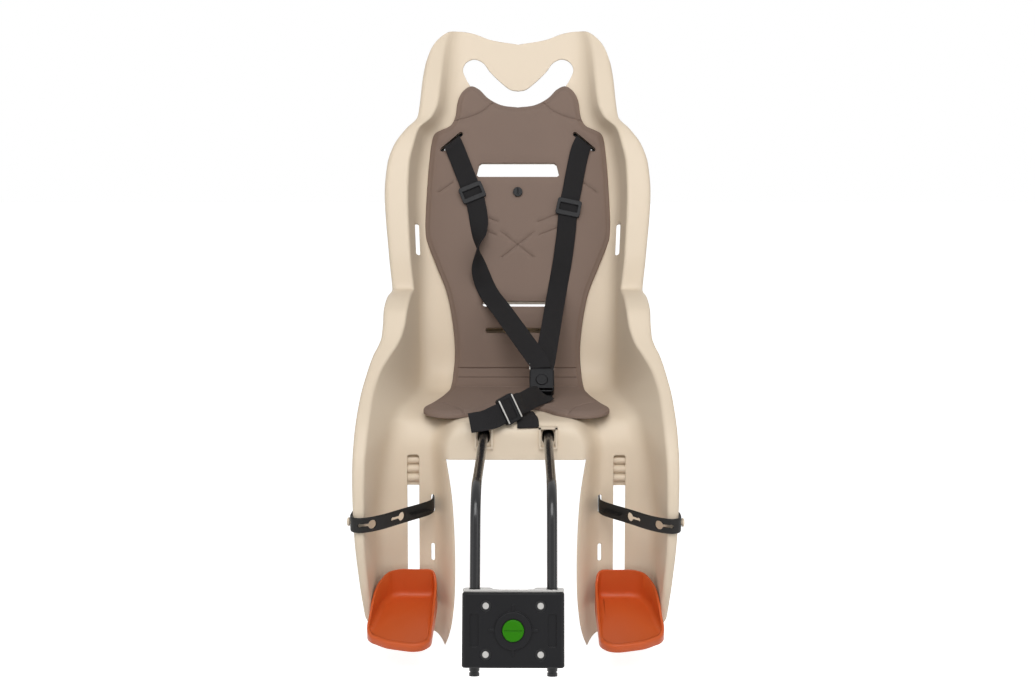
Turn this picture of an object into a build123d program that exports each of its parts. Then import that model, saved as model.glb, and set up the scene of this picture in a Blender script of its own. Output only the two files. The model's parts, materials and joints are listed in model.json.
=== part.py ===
from build123d import *
from math import atan2, cos, degrees, hypot, radians, sin, tan
import os

os.makedirs("parts", exist_ok=True)

# The origin is on the seat tube axis at mid height of the mount block; Y runs to the rear and Z up.
tube_lean = 17.0
tube_radius = 14.3
tube_fit = 0.05

# Moulded seat shell.
seat_reach = 448.0
seat_rise = 140.0
recline = 15.0
wall = 3.6
lip = 6.0
corner_radius = 45.0
ear_top = 479.0
ear_spread = 74.0
handle_dip = 17.0
leg_rake = 5.4
leg_drop = 268.0
leg_gap = 140.0
lip_drop = 42.0
lobe_radius = 15.0
lobe_spread = 59.0
lobe_below = 52.0
tongue_below = 81.0
head_hole_below = 113.0
vent_width = 104.0
vent_height = 19.0
vent_at = 289.0
slot_width = 92.0
slot_height = 7.0
slot_at = (110.0, 75.0)
shoulder_slot_length = 38.0
shoulder_slot_width = 6.0
shoulder_slot_x = 88.0
shoulder_slot_below = 152.0
shoulder_slot_turn = -41.0
side_slot_length = 42.0
side_slot_width = 4.5
side_slot_x = 131.0
side_slot_w = 193.0
crotch_slot_length = 34.0
crotch_slot_width = 6.0
crotch_slot_x = 6.0
crotch_slot_forward = 150.0
stud_radius = 3.2
stud_x = 179.0
stud_forward = 253.0
stud_drop = 100.0

# Foam pad.
pad_gap = 0.6
pad_thick = 7.0
pad_front = 180.0
groove_width = 2.6
groove_depth = 1.6
pad_screw_w = 258.6
pad_screw_radius = 2.9

# Carrier fork and its clamp under the pan.
rod_radius = 5.0
rod_half_span = 36.5
rod_drop = 15.0
rod_setback = -10.0
rod_tail = 44.0
rod_bend = 42.0
rod_u_bend = 24.0
fork_rear = 24.0
rod_hole_width = 14.0
rod_hole_height = 18.0
saddle_length = 64.0
saddle_width = 104.0
saddle_at = 82.0
saddle_depth = 11.0
saddle_pinch = 1.6
rod_fit = 0.1
clamp_screw_radius = 2.5
clamp_screw_spread = (20.0, 22.0)

# Mount block on the seat tube.
block_width = 95.0
block_height = 68.0
block_front = 32.0
block_rear = 26.0
jaw_width = 78.0
jaw_gap = 1.2
rod_slip = 0.35
bolt_radius = 3.0
bolt_spread = (25.4, 22.0)
bolt_fit = 0.2
nut_radius = 5.0
nut_depth = 5.0
recess_depth = 6.5
head_radius = 5.0
head_depth = 5.0
collar_radius = 17.5
collar_height = 3.0
button_radius = 10.0
button_fit = 0.35
button_front = 37.0
button_back = 23.6
button_travel = 3.5
bore_floor = 17.4
plate_thick = 2.0
plate_gap = 0.3
tab_width = 15.0
tab_thick = 2.0
rod_clear = 0.6

# Footrests.
slot_center = 121.0
leg_slot_width = 14.0
leg_slot_top = 80.0
leg_slot_foot = 242.0
rack_height = 33.0
rack_depth = 6.0
rest_drop = 212.0
rest_length = 122.0
rest_inner = 92.0
rest_outer = 165.0
rest_wall = 2.8
rest_heel = 33.0
rest_skirt = 10.0
rest_pitch = 10.4
rest_gap = 0.8
neck_fit = 0.5
clip_width = 30.0
clip_height = 26.0
clip_thick = 4.0
rest_travel = 60.0

# Harness webbing, buckle and foot straps.
web_width = 25.0
web_thick = 1.4
web_lift = 1.0
buckle_width = 30.0
buckle_length = 33.0
buckle_thick = 13.0
buckle_tilt = 50.0
buckle_x = 30.5
buckle_forward = 100.0
buckle_up = 27.5
buckle_bore = 6.0
tongue_width = 19.0
tongue_thick = 2.0
tongue_fit = 0.3
adjuster_width = 32.0
adjuster_length = 22.0
adjuster_thick = 6.0
crotch_x = -8.0
crotch_lead = 48.0
crotch_up = 15.5
buckle_button_radius = 7.0
buckle_travel = 2.0
strap_thick = 2.4
strap_width = 17.0
strap_drop = 103.0
strap_x = 98.0
strap_pitch = 58.0

# Heights up the backrest that follow the ears.
back_fit = ear_top / 479.0
handle_top = ear_top - handle_dip
lobe_height = ear_top - lobe_below
tongue_tip = ear_top - tongue_below
head_hole_foot = ear_top - head_hole_below
shoulder_slot_w = ear_top - shoulder_slot_below

# The crotch adjuster lies ahead of its slot in the pan.
crotch_forward = crotch_slot_forward + crotch_lead


def on_back(w, h=0.0):
    # Side-view point w up the backrest and h in front of it.
    a = radians(recline)
    return (seat_reach + w * sin(a) - h * cos(a), seat_rise + w * cos(a) + h * sin(a))


def at(forward, up):
    # Side-view point measured from the corner between backrest and pan.
    return (seat_reach - forward, seat_rise + up)


def leg_face(drop):
    # Side-view point on the front of the leg wall, drop below the pan.
    return at(166.0 + (drop - 32.0) * tan(radians(leg_rake)), -drop)


def soften(corners, reach):
    # Chain of corners with each one rounded by a parabola.
    path = [corners[0]]
    for before, corner, after, e in zip(corners, corners[1:], corners[2:], reach):
        d0 = hypot(corner[0] - before[0], corner[1] - before[1])
        d1 = hypot(after[0] - corner[0], after[1] - corner[1])
        a = [c + (b - c) * min(e, 0.42 * d0) / d0 for c, b in zip(corner, before)]
        b = [c + (n - c) * min(e, 0.42 * d1) / d1 for c, n in zip(corner, after)]
        middle = [(p + 2 * q + r) / 4 for p, q, r in zip(a, corner, b)]
        path += [a, middle, b]
    path.append(corners[-1])
    return path


def rung(base, rim, under, floor_half, rim_half, outer_half, hump=(0.0, 0.0), hump_half=20.0, hump_foot=40.0):
    # Section of the right half: from the middle out, up the side, over the rim and down its lip.
    height = hypot(rim[0] - base[0], rim[1] - base[1])
    way = ((rim[0] - base[0]) / height, (rim[1] - base[1]) / height)
    bead = (outer_half - rim_half) / 2
    crest = (rim_half + bead, height - bead)
    corners = [(0, 0, 1), (hump_half, 0, 1), (hump_foot, 0, 0), (floor_half, 0, 0), (rim_half, crest[1], 0)]
    path = soften(corners, [10, 10, 8])
    for turn in (135, 90, 45, 0):
        path.append((crest[0] + bead * cos(radians(turn)), crest[1] + bead * sin(radians(turn)), 0))
    path.append((outer_half + 0.5, crest[1] - lip, 0))
    front = []
    rear = []
    for i, (x, h, k) in enumerate(path):
        a = path[max(i - 1, 0)]
        b = path[min(i + 1, len(path) - 1)]
        d = hypot(b[0] - a[0], b[1] - a[1])
        floor = min(max((9 - i) / 2, 0), 1)
        point = Vector(x, base[0] + h * way[0] + k * hump[0], base[1] + h * way[1] + k * hump[1])
        out = Vector((b[1] - a[1]) / d, -(b[0] - a[0]) / d * way[0], -(b[0] - a[0]) / d * way[1])
        front.append(point)
        rear.append(point + (Vector(0, *under) * floor + out * (1 - floor)).normalized() * wall)
    return Wire.make_polygon([*front, *reversed(rear)])


back_plane = Plane((0, *at(0, 0)), x_dir=(1, 0, 0), z_dir=(0, -cos(radians(recline)), sin(radians(recline))))
leg_frame = Pos(0, *leg_face(rest_drop)) * Rot(X=-leg_rake)
block_frame = Rot(X=-tube_lean)


def through_back(sketch, front=90.0, rear=60.0):
    solid = extrude(back_plane * sketch, front) + extrude(back_plane * sketch, -rear)
    return solid


def both(shape):
    return shape + mirror(shape, Plane.YZ)


def ribbon(stations, thick, ruled=True):
    # Flat band through stations of centre, direction across and width.
    centres = [Vector(*s[0]) for s in stations]
    wires = []
    for i, (centre, across, width) in enumerate(stations):
        along = centres[min(i + 1, len(centres) - 1)] - centres[max(i - 1, 0)]
        along = along.normalized()
        side = Vector(*across)
        side = (side - along * side.dot(along)).normalized() * (width / 2)
        face = along.cross(side).normalized() * (thick / 2)
        c = centres[i]
        wires.append(Wire.make_polygon([c - side - face, c + side - face, c + side + face, c - side + face]))
    return Solid.make_loft(wires, ruled)


def write(shape, name):
    shape.label = name
    export_step(shape, "parts/" + name + ".step")


# Shell: rungs down the backrest, round the arms and thighs and down the legs.
half_corner = radians((90 + recline) / 2)
tangent = corner_radius / tan(half_corner)
corner_reach = corner_radius / sin(half_corner) - corner_radius
corner_mid = at(corner_reach * cos(half_corner), corner_reach * sin(half_corner))
behind = (cos(radians(recline)), -sin(radians(recline)))
below = (0.0, -1.0)
between = (sin(half_corner - radians(recline)), -cos(half_corner - radians(recline)))
leg_rear = (cos(radians(leg_rake)), -sin(radians(leg_rake)))
leg_front = (-32 * leg_rear[0], -32 * leg_rear[1])
shell_end = leg_drop + 22


def leg_out(drop, reach):
    # Side-view point in front of the leg wall, square to it.
    y, z = leg_face(drop)
    return (y - reach * leg_rear[0], z - reach * leg_rear[1])


back_rows = [
    (497, 9, 70, 84, 101),
    (474, 12, 80, 94, 112),
    (455, 17, 84, 98, 118),
    (437, 21, 86, 100, 121.5),
    (405, 28, 89, 102, 126),
    (372, 35, 93, 105, 128.5),
    (352, 40, 104, 112, 131),
    (333, 50, 122, 128, 145),
    (310, 56, 126, 134, 159.5),
    (284, 58, 129, 139, 167.5),
    (250, 60, 131, 140, 170),
    (165, 60, 126, 136, 163.5),
]
rungs = []
for w, depth, floor_half, rim_half, outer_half in back_rows:
    w = w * back_fit
    rungs.append(rung(on_back(w), on_back(w, depth), behind, floor_half, rim_half, outer_half))
rungs += [
    rung(on_back(112), at(25, 133), behind, 127, 131, 159),
    rung(on_back(66), at(62, 130), behind, 127, 131, 160.5),
    rung(on_back(tangent), at(96, 118), behind, 126, 132, 161.5),
    rung(corner_mid, at(122, 89), between, 124, 137, 161.5),
    rung(at(tangent, 0), at(142, 70), below, 123, 148, 169),
    rung(at(78, 0), at(166, 49), below, 124, 160, 175),
    rung(at(118, 0), at(192, 27), below, 131, 165, 179, (-32, 0), 54, 72),
    rung(at(148, -6), at(220, 3), (0.3, -0.95), 139, 166, 180.5, (-42, 6), 64, 84),
    rung(at(159, -18), at(234, -14), (0.7, -0.71), 143, 166.5, 181, (-43, 10), 73, 91),
    rung(leg_face(38), at(247, -33), leg_rear, 150, 167, 181, (-38, 8), 82, 96),
    rung(leg_face(70), at(257, -67), leg_rear, 157, 167, 180.5, (-37, 3), 79, 94),
    rung(leg_face(120), at(262, -118), leg_rear, 162, 167, 178.5, (-35, 1), 75.5, 92),
    rung(leg_face(175), at(255, -171), leg_rear, 163, 166, 175, (-33, 1), 74, 91),
    rung(leg_face(222), at(240, -218), leg_rear, 161, 163.5, 171.5, (-32, 1), 75, 90),
    rung(leg_face(shell_end), leg_out(shell_end, 37), leg_rear, 150, 153, 162, leg_front, 78, 91),
]
half_shell = Solid.make_loft(rungs, ruled=True)

ears = Spline(
    (0, handle_top),
    (ear_spread * 0.5, handle_top + 7),
    (ear_spread, ear_top),
    (96, ear_top - 6),
    (114, ear_top - 26),
    (127, ear_top - 70),
    tangents=[(1, 0), (0.05, -1)],
)
ear_side = ear_top - 70
ear_sky = ear_top + 60
top_trim = make_face([ears, Polyline(ears @ 1, (200, ear_side), (200, ear_sky), (0, ear_sky), ears @ 0)])
lobe = Pos(lobe_spread, lobe_height) * Circle(lobe_radius)
lobe_edge = (lobe_spread, lobe_height + 14)
tongue_edge = Spline((0, tongue_tip), (20, tongue_tip + 9), (lobe_spread - 20, lobe_height), lobe_edge)
hole_line = [
    tongue_edge,
    Line(tongue_edge @ 1, (lobe_spread + 14, lobe_height)),
    Line((lobe_spread + 14, lobe_height), (lobe_spread - 6, head_hole_foot + 12)),
    Line((lobe_spread - 6, head_hole_foot + 12), (0, head_hole_foot)),
    Line((0, head_hole_foot), (0, tongue_tip)),
]
head_hole = make_face(hole_line) + lobe
vent = Pos(0, vent_at) * Trapezoid(vent_width + 8, vent_height, 80)
vent = fillet(vent.vertices(), 4)
pad_slots = []
for i, w in enumerate(slot_at):
    pad_slots.append(Pos(0, w) * RectangleRounded(slot_width - 8 * i, slot_height, 2.5))
shoulder_slot = SlotOverall(shoulder_slot_length, shoulder_slot_width, rotation=shoulder_slot_turn)
shoulder_slot = Pos(shoulder_slot_x, shoulder_slot_w) * shoulder_slot
side_slot = Pos(side_slot_x, side_slot_w) * SlotOverall(side_slot_length, side_slot_width, rotation=87)
screw_hole = Pos(0, pad_screw_w) * Circle(pad_screw_radius + 0.3)

gap_x = leg_gap / 2
gap_edge = Spline(
    (gap_x + 10, 0),
    (gap_x + 4, -38),
    (gap_x + 1, -78),
    (gap_x, -128),
    (gap_x + 1.5, -172),
    (gap_x + 7, -206),
    (gap_x + 24, -250),
)
gap_line = [Line((0, 0), gap_edge @ 0), gap_edge, Polyline(gap_edge @ 1, (0, -250), (0, 0))]
gap_half = make_face(gap_line)
front_plane = Plane((0, seat_reach - 120, seat_rise), x_dir=(1, 0, 0), z_dir=(0, -1, 0))
leg_gap_cut = extrude(front_plane * Pos(0, -lip_drop) * gap_half, 160)
foot_line = Spline(
    (190, 98 - leg_drop),
    (176, 60 - leg_drop),
    (160, 34 - leg_drop),
    (138, 19 - leg_drop),
    (96, 12 - leg_drop),
    (80, -leg_drop),
    tangents=[(-0.2, -1), (-0.5, -1)],
)
foot_low = -leg_drop - 60
foot_side = Polyline(foot_line @ 1, (40, foot_low), (220, foot_low), (220, 98 - leg_drop), foot_line @ 0)
foot_trim = make_face([foot_line, foot_side])
foot_cut = extrude(front_plane * foot_trim, 180)
rod_hole = Pos(rod_half_span, -rod_drop) * SlotOverall(rod_hole_height, rod_hole_width, rotation=90)
rod_hole = extrude(front_plane * rod_hole, 130)

slot_run = leg_slot_foot - leg_slot_top
leg_slot = Pos(slot_center, -leg_slot_top - slot_run / 2) * SlotOverall(slot_run, leg_slot_width, rotation=90)
leg_slot = extrude(front_plane * leg_slot, 90)
strap_slot = SlotOverall(strap_width + 4, strap_thick + 1.8, rotation=90)
strap_slots = [
    extrude(front_plane * Pos(strap_x, -d) * strap_slot, 90) for d in (strap_drop, strap_drop + strap_pitch)
]
rack_y, rack_z = leg_face(leg_slot_top - rack_height / 2)
rack_frame = Pos(slot_center, rack_y, rack_z) * Rot(X=-leg_rake)
rack_case = Box(leg_slot_width + 6, rack_depth + 3, rack_height + 4)
rack_case = rack_frame * Pos(0, rack_depth / 2 + 1.5, 0) * rack_case
rack_pocket = Box(leg_slot_width - 1, rack_depth + 10, rack_height - 4)
rack_pocket = rack_frame * Pos(0, rack_depth / 2 - 5, 0) * rack_pocket
rack_ribs = [
    rack_frame * Pos(0, rack_depth, d) * Rot(Y=90) * Cylinder(3.2, leg_slot_width) for d in (-10.5, 0, 10.5)
]

half_shell = half_shell - through_back(top_trim) - through_back(head_hole)
for sketch in [vent, *pad_slots, shoulder_slot, side_slot, screw_hole]:
    half_shell = half_shell - through_back(sketch)
for cutter in [leg_gap_cut, foot_cut, rod_hole, leg_slot, *strap_slots]:
    half_shell = half_shell - cutter
half_shell = half_shell + rack_case - rack_pocket
for rib in rack_ribs:
    half_shell = half_shell + rib

stud_y, stud_z = at(stud_forward, -stud_drop)
stud = Pos(stud_x, stud_y, stud_z) * Rot(Y=90) * Cylinder(stud_radius, 11)
stud_cap = Pos(stud_x + 6.2, stud_y, stud_z) * Rot(Y=90) * Cylinder(stud_radius + 1.6, 2.4)
half_shell = half_shell + stud + stud_cap

fork_z = seat_rise - rod_drop
saddle_top = seat_rise - 1.2
saddle_low = fork_z + saddle_pinch / 2
saddle_y = seat_reach - saddle_at
saddle_box = Box(saddle_width / 2, saddle_length, saddle_top - saddle_low)
saddle_box = Pos(saddle_width / 4, saddle_y, (saddle_top + saddle_low) / 2) * saddle_box
rod_line = Rot(X=90) * Cylinder(rod_radius + rod_fit, saddle_length + 20)
rod_line = Pos(rod_half_span, saddle_y, fork_z) * rod_line
pilots = []
for side in (-1, 1):
    spot = Pos(clamp_screw_spread[0], saddle_y + side * clamp_screw_spread[1], saddle_low + 4)
    pilots.append(spot * Cylinder(clamp_screw_radius, 8.4))
half_shell = half_shell + (saddle_box - rod_line - Compound(pilots))
slot_y = seat_reach - crotch_slot_forward
crotch_slot = extrude(SlotOverall(crotch_slot_length, crotch_slot_width), 60, both=True)
seat_shell = both(half_shell) - Pos(crotch_slot_x, slot_y, seat_rise) * crotch_slot
write(seat_shell, "seat_shell")

# Pad: a strip that follows backrest, corner and pan, trimmed to its outline.
centre = at(tangent, corner_radius)


def corner_arc(radius):
    points = [on_back(tangent, corner_radius - radius)]
    points.append((centre[0] + radius * between[0], centre[1] + radius * between[1]))
    points.append(at(tangent, corner_radius - radius))
    return points


low = corner_arc(corner_radius - pad_gap)
high = corner_arc(corner_radius - pad_gap - pad_thick)
strip_top = ear_top - 59
pad_top = on_back(strip_top, pad_gap + pad_thick)
toe_low = at(pad_front, pad_gap)
toe_high = at(pad_front, pad_gap + pad_thick)
pad_side = [
    Polyline(on_back(strip_top, pad_gap), *low, toe_low, toe_high, high[2]),
    ThreePointArc(*high[::-1]),
    Polyline(high[0], pad_top, on_back(strip_top, pad_gap)),
]
strip = extrude(Plane.YZ * make_face(pad_side), 140)

def tall(*points):
    # Backrest outline points, their heights following the ears.
    return [(x, w * back_fit) for x, w in points]


ear_line = [
    Polyline((0, -70), (87, -70), *tall((85, 25))),
    Spline(*tall((85, 25), (82, 56), (92, 121), (119, 190)), tangents=[(-0.1, 1), (0.5, 0.8)]),
    Spline(*tall((119, 190), (121.5, 203), (120.5, 262), (113, 333)), tangents=[(0.5, 0.8), (-0.1, 1)]),
    ThreePointArc(*tall((113, 333), (108.5, 341), (100, 344.5))),
    Spline(*tall((100, 344.5), (88, 350), (82, 364), (80, 384)), tangents=[(-1, 0.3), (-0.05, 1)]),
    ThreePointArc(*tall((80, 384), (63, 404), (44, 389))),
    Spline(*tall((44, 389), (22, 377), (0, 374)), tangents=[(-0.8, -0.6), (-1, 0)]),
    Polyline(*tall((0, 374)), (0, -70)),
]
back_prism = through_back(make_face(ear_line), 200, 40)
foot_edge = Spline(
    (87, 40), (90, 66), (100, 110), (110, 140), (106, 162), (92, 176),
    tangents=[(0.1, 1), (-1, 0.3)],
)
pan_line = [
    Line((0, 40), (87, 40)),
    foot_edge,
    Spline((92, 176), (72, 180), (50, 168), (32, 140), (0, 128), tangents=[(-1, 0.3), (-1, 0)]),
    Line((0, 128), (0, 40)),
]
pan_plane = Plane((0, seat_reach, seat_rise), x_dir=(1, 0, 0), z_dir=(0, 0, -1))
foot_prism = extrude(pan_plane * make_face(pan_line), 30, both=True)
rear_half = Box(600, 400, 900, align=(Align.CENTER, Align.MIN, Align.CENTER))
rear_half = Pos(0, seat_reach - 40, seat_rise) * rear_half
half_pad = (strip & back_prism & rear_half) + (strip & foot_prism)
for sketch in [vent, *pad_slots, shoulder_slot, screw_hole]:
    half_pad = half_pad - through_back(sketch)


def groove(a, b):
    # Straight groove sunk into the pad face between two points on the backrest.
    run = hypot(b[0] - a[0], b[1] - a[1])
    bar = SlotOverall(run, groove_width, rotation=degrees(atan2(b[1] - a[1], b[0] - a[0])))
    bar = Pos((a[0] + b[0]) / 2, (a[1] + b[1]) / 2) * bar
    return extrude(back_plane.offset(pad_gap + pad_thick - groove_depth) * bar, 10)


grooves = [
    groove(*tall((27, 219), (55, 230))),
    groove(*tall((30, 202), (57, 212))),
    groove(*tall((-2, 186.6), (20.5, 204.5))),
    groove(*tall((-2, 189.8), (20.5, 172))),
    groove(*tall((86, 271), (103, 260))),
]
for cutter in grooves:
    half_pad = half_pad - cutter
fold_radius = corner_radius - pad_gap - pad_thick
fold_lines = []
for turn in (28.6, 49.8, 84):
    fold_y = centre[0] + fold_radius * cos(radians(turn))
    fold_z = centre[1] - fold_radius * sin(radians(turn))
    fold_lines.append(Pos(0, fold_y, fold_z) * Rot(Y=90) * Cylinder(groove_depth, 300))
ear_arc = extrude(
    back_plane.offset(pad_gap + pad_thick - groove_depth)
    * Pos(*tall((67, 391))[0])
    * (Circle(34 + groove_width / 2) - Circle(34 - groove_width / 2)),
    10,
)
for cutter in [*fold_lines, ear_arc]:
    half_pad = half_pad - cutter
seat_pad = both(half_pad)
write(seat_pad, "seat_pad")

screw_axis = back_plane.offset(pad_gap + pad_thick) * Pos(0, pad_screw_w)
pad_screw = screw_axis * Pos(0, 0, 1.3) * Cylinder(6.2, 2.6)
pad_screw = pad_screw - screw_axis * Pos(0, 0, 2.6) * Box(1.4, 8, 2.2)
pad_screw = pad_screw + screw_axis * Pos(0, 0, -8.5) * Cylinder(pad_screw_radius, 17.4)
write(pad_screw, "pad_screw")
nut_top = pad_gap + pad_thick + wall + 0.2
pad_nut = extrude(RegularPolygon(5.5, 6) - Circle(pad_screw_radius + 0.05), 4)
pad_nut = screw_axis * Pos(0, 0, -nut_top - 4) * pad_nut
write(pad_nut, "pad_nut")

# Carrier fork: one bar bent to a U under the pan, its ends turned down along the seat tube.
lean = radians(tube_lean)


def in_block(y, z):
    # Side-view point from block coordinates, y to the rear of the tube axis and z up along it.
    return (y * cos(lean) + z * sin(lean), z * cos(lean) - y * sin(lean))


bend_at = (fork_z + rod_setback * sin(lean)) / cos(lean)
fork_path = FilletPolyline(
    (rod_half_span, *in_block(rod_setback, -rod_tail)),
    (rod_half_span, *in_block(rod_setback, bend_at)),
    (rod_half_span, seat_reach - fork_rear, fork_z),
    (-rod_half_span, seat_reach - fork_rear, fork_z),
    (-rod_half_span, *in_block(rod_setback, bend_at)),
    (-rod_half_span, *in_block(rod_setback, -rod_tail)),
    radius=[rod_bend, rod_u_bend, rod_u_bend, rod_bend],
)
rod_end = Plane(fork_path @ 0, z_dir=fork_path % 0)
carrier_fork = sweep(rod_end * Circle(rod_radius), fork_path)
for side in (-1, 1):
    ring_at = Pos(side * rod_half_span, *in_block(rod_setback, -rod_tail + 4)) * Rot(X=-tube_lean)
    carrier_fork = carrier_fork - ring_at * (Cylinder(rod_radius + 2, 1.6) - Cylinder(rod_radius - 0.8, 3))
write(carrier_fork, "carrier_fork")

clamp_top = fork_z - saddle_pinch / 2
fork_clamp = Pos(0, saddle_y, clamp_top - saddle_depth / 2) * Box(saddle_width, saddle_length, saddle_depth)
fork_clamp = fillet(fork_clamp.edges().filter_by(Axis.Z), 6)
fork_clamp = fork_clamp - both(rod_line)
screw_spots = [(a * clamp_screw_spread[0], b * clamp_screw_spread[1]) for a in (-1, 1) for b in (-1, 1)]
screws = []
for x, y in screw_spots:
    spot = Pos(x, saddle_y + y, clamp_top - saddle_depth)
    fork_clamp = fork_clamp - spot * Pos(0, 0, 6) * Cylinder(clamp_screw_radius + bolt_fit, 40)
    fork_clamp = fork_clamp - spot * Pos(0, 0, 1.5) * Cylinder(5, 3.2)
    shank = spot * Pos(0, 0, 10.5) * Cylinder(clamp_screw_radius - 0.05, 16)
    screws.append(spot * Pos(0, 0, 1.6) * Cylinder(4.6, 3) + shank)
write(fork_clamp, "fork_clamp")
write(Compound(screws), "fork_clamp_screws")

# Mount block, drawn upright and then leaned with the seat tube.
half_gap = jaw_gap / 2
front_depth = block_front - half_gap
block = Pos(0, -half_gap - front_depth / 2, 0) * Box(block_width, front_depth, block_height)
block = fillet(block.edges().filter_by(Axis.Z), 5)
block = chamfer(block.faces().sort_by(Axis.Y)[0].edges(), 1.2)
front_at = Pos(0, -block_front, 0) * Rot(X=90)
collar = front_at * extrude(Circle(collar_radius), collar_height)
collar = chamfer(collar.faces().sort_by(Axis.Y)[0].edges(), 1.0)
block = block + collar
for turn in (0, 90, 180, 270):
    block = block + front_at * Rot(Z=turn) * Pos(collar_radius + 2.5, 0, 0.6) * Box(6, 2.2, 1.6)
tube_bore = Cylinder(tube_radius + tube_fit, block_height * 2)
block = block - tube_bore
for side in (-1, 1):
    rod_bore = Cylinder(rod_radius + rod_slip, block_height * 2)
    block = block - Pos(side * rod_half_span, rod_setback, 0) * rod_bore
    pocket = front_at * Pos(side * 36, 0, 0) * extrude(RectangleRounded(8, 30, 2), 1.4, both=True)
    block = block - pocket
bore_run = block_front + collar_height - bore_floor
button_bore = extrude(Circle(button_radius + button_fit), bore_run + 10)
block = block - Pos(0, -bore_floor, 0) * Rot(X=90) * button_bore
tab_room = button_back - bore_floor + 0.8
tab_slot = Box(tab_width + 1.4, tab_room, block_height)
block = block - Pos(0, -bore_floor - tab_room / 2, block_height / 2) * tab_slot
bolt_spots = [(a * bolt_spread[0], b * bolt_spread[1]) for a in (-1, 1) for b in (-1, 1)]
jaw_depth = block_rear - half_gap
jaw = Pos(0, half_gap + jaw_depth / 2, 0) * Box(jaw_width, jaw_depth, block_height - 6)
jaw = fillet(jaw.edges().filter_by(Axis.Z), 8)
jaw = jaw - tube_bore
bolts = []
nuts = []
for x, z in bolt_spots:
    hole = Pos(x, 0, z) * Rot(X=90)
    block = block - hole * Cylinder(bolt_radius + bolt_fit, 120)
    seat_at = Pos(x, -block_front + recess_depth, z) * Rot(X=90)
    head_at = Pos(x, block_rear - head_depth, z) * Rot(X=-90)
    block = block - seat_at * extrude(Circle(nut_radius + bolt_fit), recess_depth + 5)
    jaw = jaw - hole * Cylinder(bolt_radius + bolt_fit, 120)
    jaw = jaw - head_at * extrude(Circle(head_radius + bolt_fit), head_depth + 5)
    bolt_run = block_front + block_rear - head_depth - 1.0
    bolt = Pos(x, block_rear - head_depth, z) * Rot(X=90) * extrude(Circle(bolt_radius - 0.05), bolt_run)
    head = head_at * extrude(Circle(head_radius) - RegularPolygon(2.8, 6), head_depth)
    floor = head_at * extrude(Circle(head_radius), 1.5)
    bolts.append(bolt + head + floor)
    nuts.append(seat_at * extrude(Circle(nut_radius) - Circle(bolt_radius), nut_depth))
write(block_frame * block, "mount_block")
write(block_frame * jaw, "mount_jaw")
write(block_frame * Compound(bolts), "mount_bolts")
write(block_frame * Compound(nuts), "mount_nuts")

button = Pos(0, -button_back, 0) * Rot(X=90) * extrude(Circle(button_radius), button_front - button_back)
button = fillet(button.faces().sort_by(Axis.Y)[0].edges(), 1.2)
button = button - Pos(0, -button_front, 0) * Box(button_radius * 1.7, 1.2, 1.2)
write(block_frame * button, "release_button")

plate_low = block_height / 2 + plate_gap
plate_rear = 6.0
bridge_rear = tube_radius + 2.0 + button_travel
plate_line = Polyline(
    (0, -block_front + 6),
    (block_width / 2 - 6, -block_front + 6),
    (block_width / 2, -block_front + 12),
    (block_width / 2, plate_rear - 6),
    (block_width / 2 - 6, plate_rear),
    (tube_radius + 8, plate_rear),
    (tube_radius + 4, -bridge_rear + 6),
    (tube_radius - 2, -bridge_rear),
    (0, -bridge_rear),
    (0, -block_front + 6),
)
plate = extrude(Pos(0, 0, plate_low) * make_face(plate_line), plate_thick)
slot_room = 2 * (rod_radius + rod_clear)
plate_hole = Pos(rod_half_span, rod_setback - button_travel / 2, plate_low) * extrude(
    SlotOverall(slot_room + button_travel, slot_room, rotation=90), 10, both=True
)
plate = both(plate - plate_hole)
tab_high = plate_low + plate_thick
plate = plate + Pos(0, -button_back + tab_thick / 2, tab_high) * Box(
    tab_width, tab_thick, tab_high - 2, align=(Align.CENTER, Align.CENTER, Align.MAX)
)
write(block_frame * plate, "lock_plate")


def leaf_spring(foot, crown, length, width, thick=0.5):
    # Bowed strip standing on foot with its crown in the middle, in the YZ plane.
    strip = make_face([
        ThreePointArc((-length / 2, foot + 0.1), (0, crown - 0.1 - thick), (length / 2, foot + 0.1)),
        Line((length / 2, foot + 0.1), (length / 2, foot + 0.1 + thick)),
        ThreePointArc((length / 2, foot + 0.1 + thick), (0, crown - 0.1), (-length / 2, foot + 0.1 + thick)),
        Line((-length / 2, foot + 0.1 + thick), (-length / 2, foot + 0.1)),
    ])
    return extrude(Plane.XZ * strip, width / 2, both=True)


button_spring = Pos(0, 0, -4.5) * Rot(X=90) * leaf_spring(bore_floor, button_back, 12, 5)
write(block_frame * button_spring, "button_spring")

# Footrests: plan drawn as x and reach forward of the leg wall, trimmed by a side profile.
rest_plan = Plane((0, 0, 0), x_dir=(1, 0, 0), z_dir=(0, 0, -1))
rest_side = Plane((0, 0, 0), x_dir=(0, -1, 0), z_dir=(-1, 0, 0))
toe = rest_length
slope = tan(radians(rest_pitch))
plan_line = [
    Line((rest_inner + 10, rest_gap), (rest_outer - 29, rest_gap)),
    ThreePointArc((rest_outer - 29, rest_gap), (rest_outer - 17, 7), (rest_outer - 9, 22)),
    ThreePointArc((rest_outer - 9, 22), (rest_outer - 4.2, 42), (rest_outer - 2, 62)),
    Line((rest_outer - 2, 62), (rest_outer, 88)),
    ThreePointArc((rest_outer, 88), (rest_outer - 3, 98), (rest_outer - 11, 106)),
    ThreePointArc((rest_outer - 11, 106), (rest_outer - 24, toe - 7), (rest_outer - 39, toe - 3)),
    Line((rest_outer - 39, toe - 3), (rest_inner + 20, toe)),
    ThreePointArc((rest_inner + 20, toe), (rest_inner + 5, toe - 6), (rest_inner, toe - 18)),
    Line((rest_inner, toe - 18), (rest_inner, 12)),
    ThreePointArc((rest_inner, 12), (rest_inner + 3, 4), (rest_inner + 10, rest_gap)),
]
rest_outline = make_face(plan_line)
toe_level = -toe * slope


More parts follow.
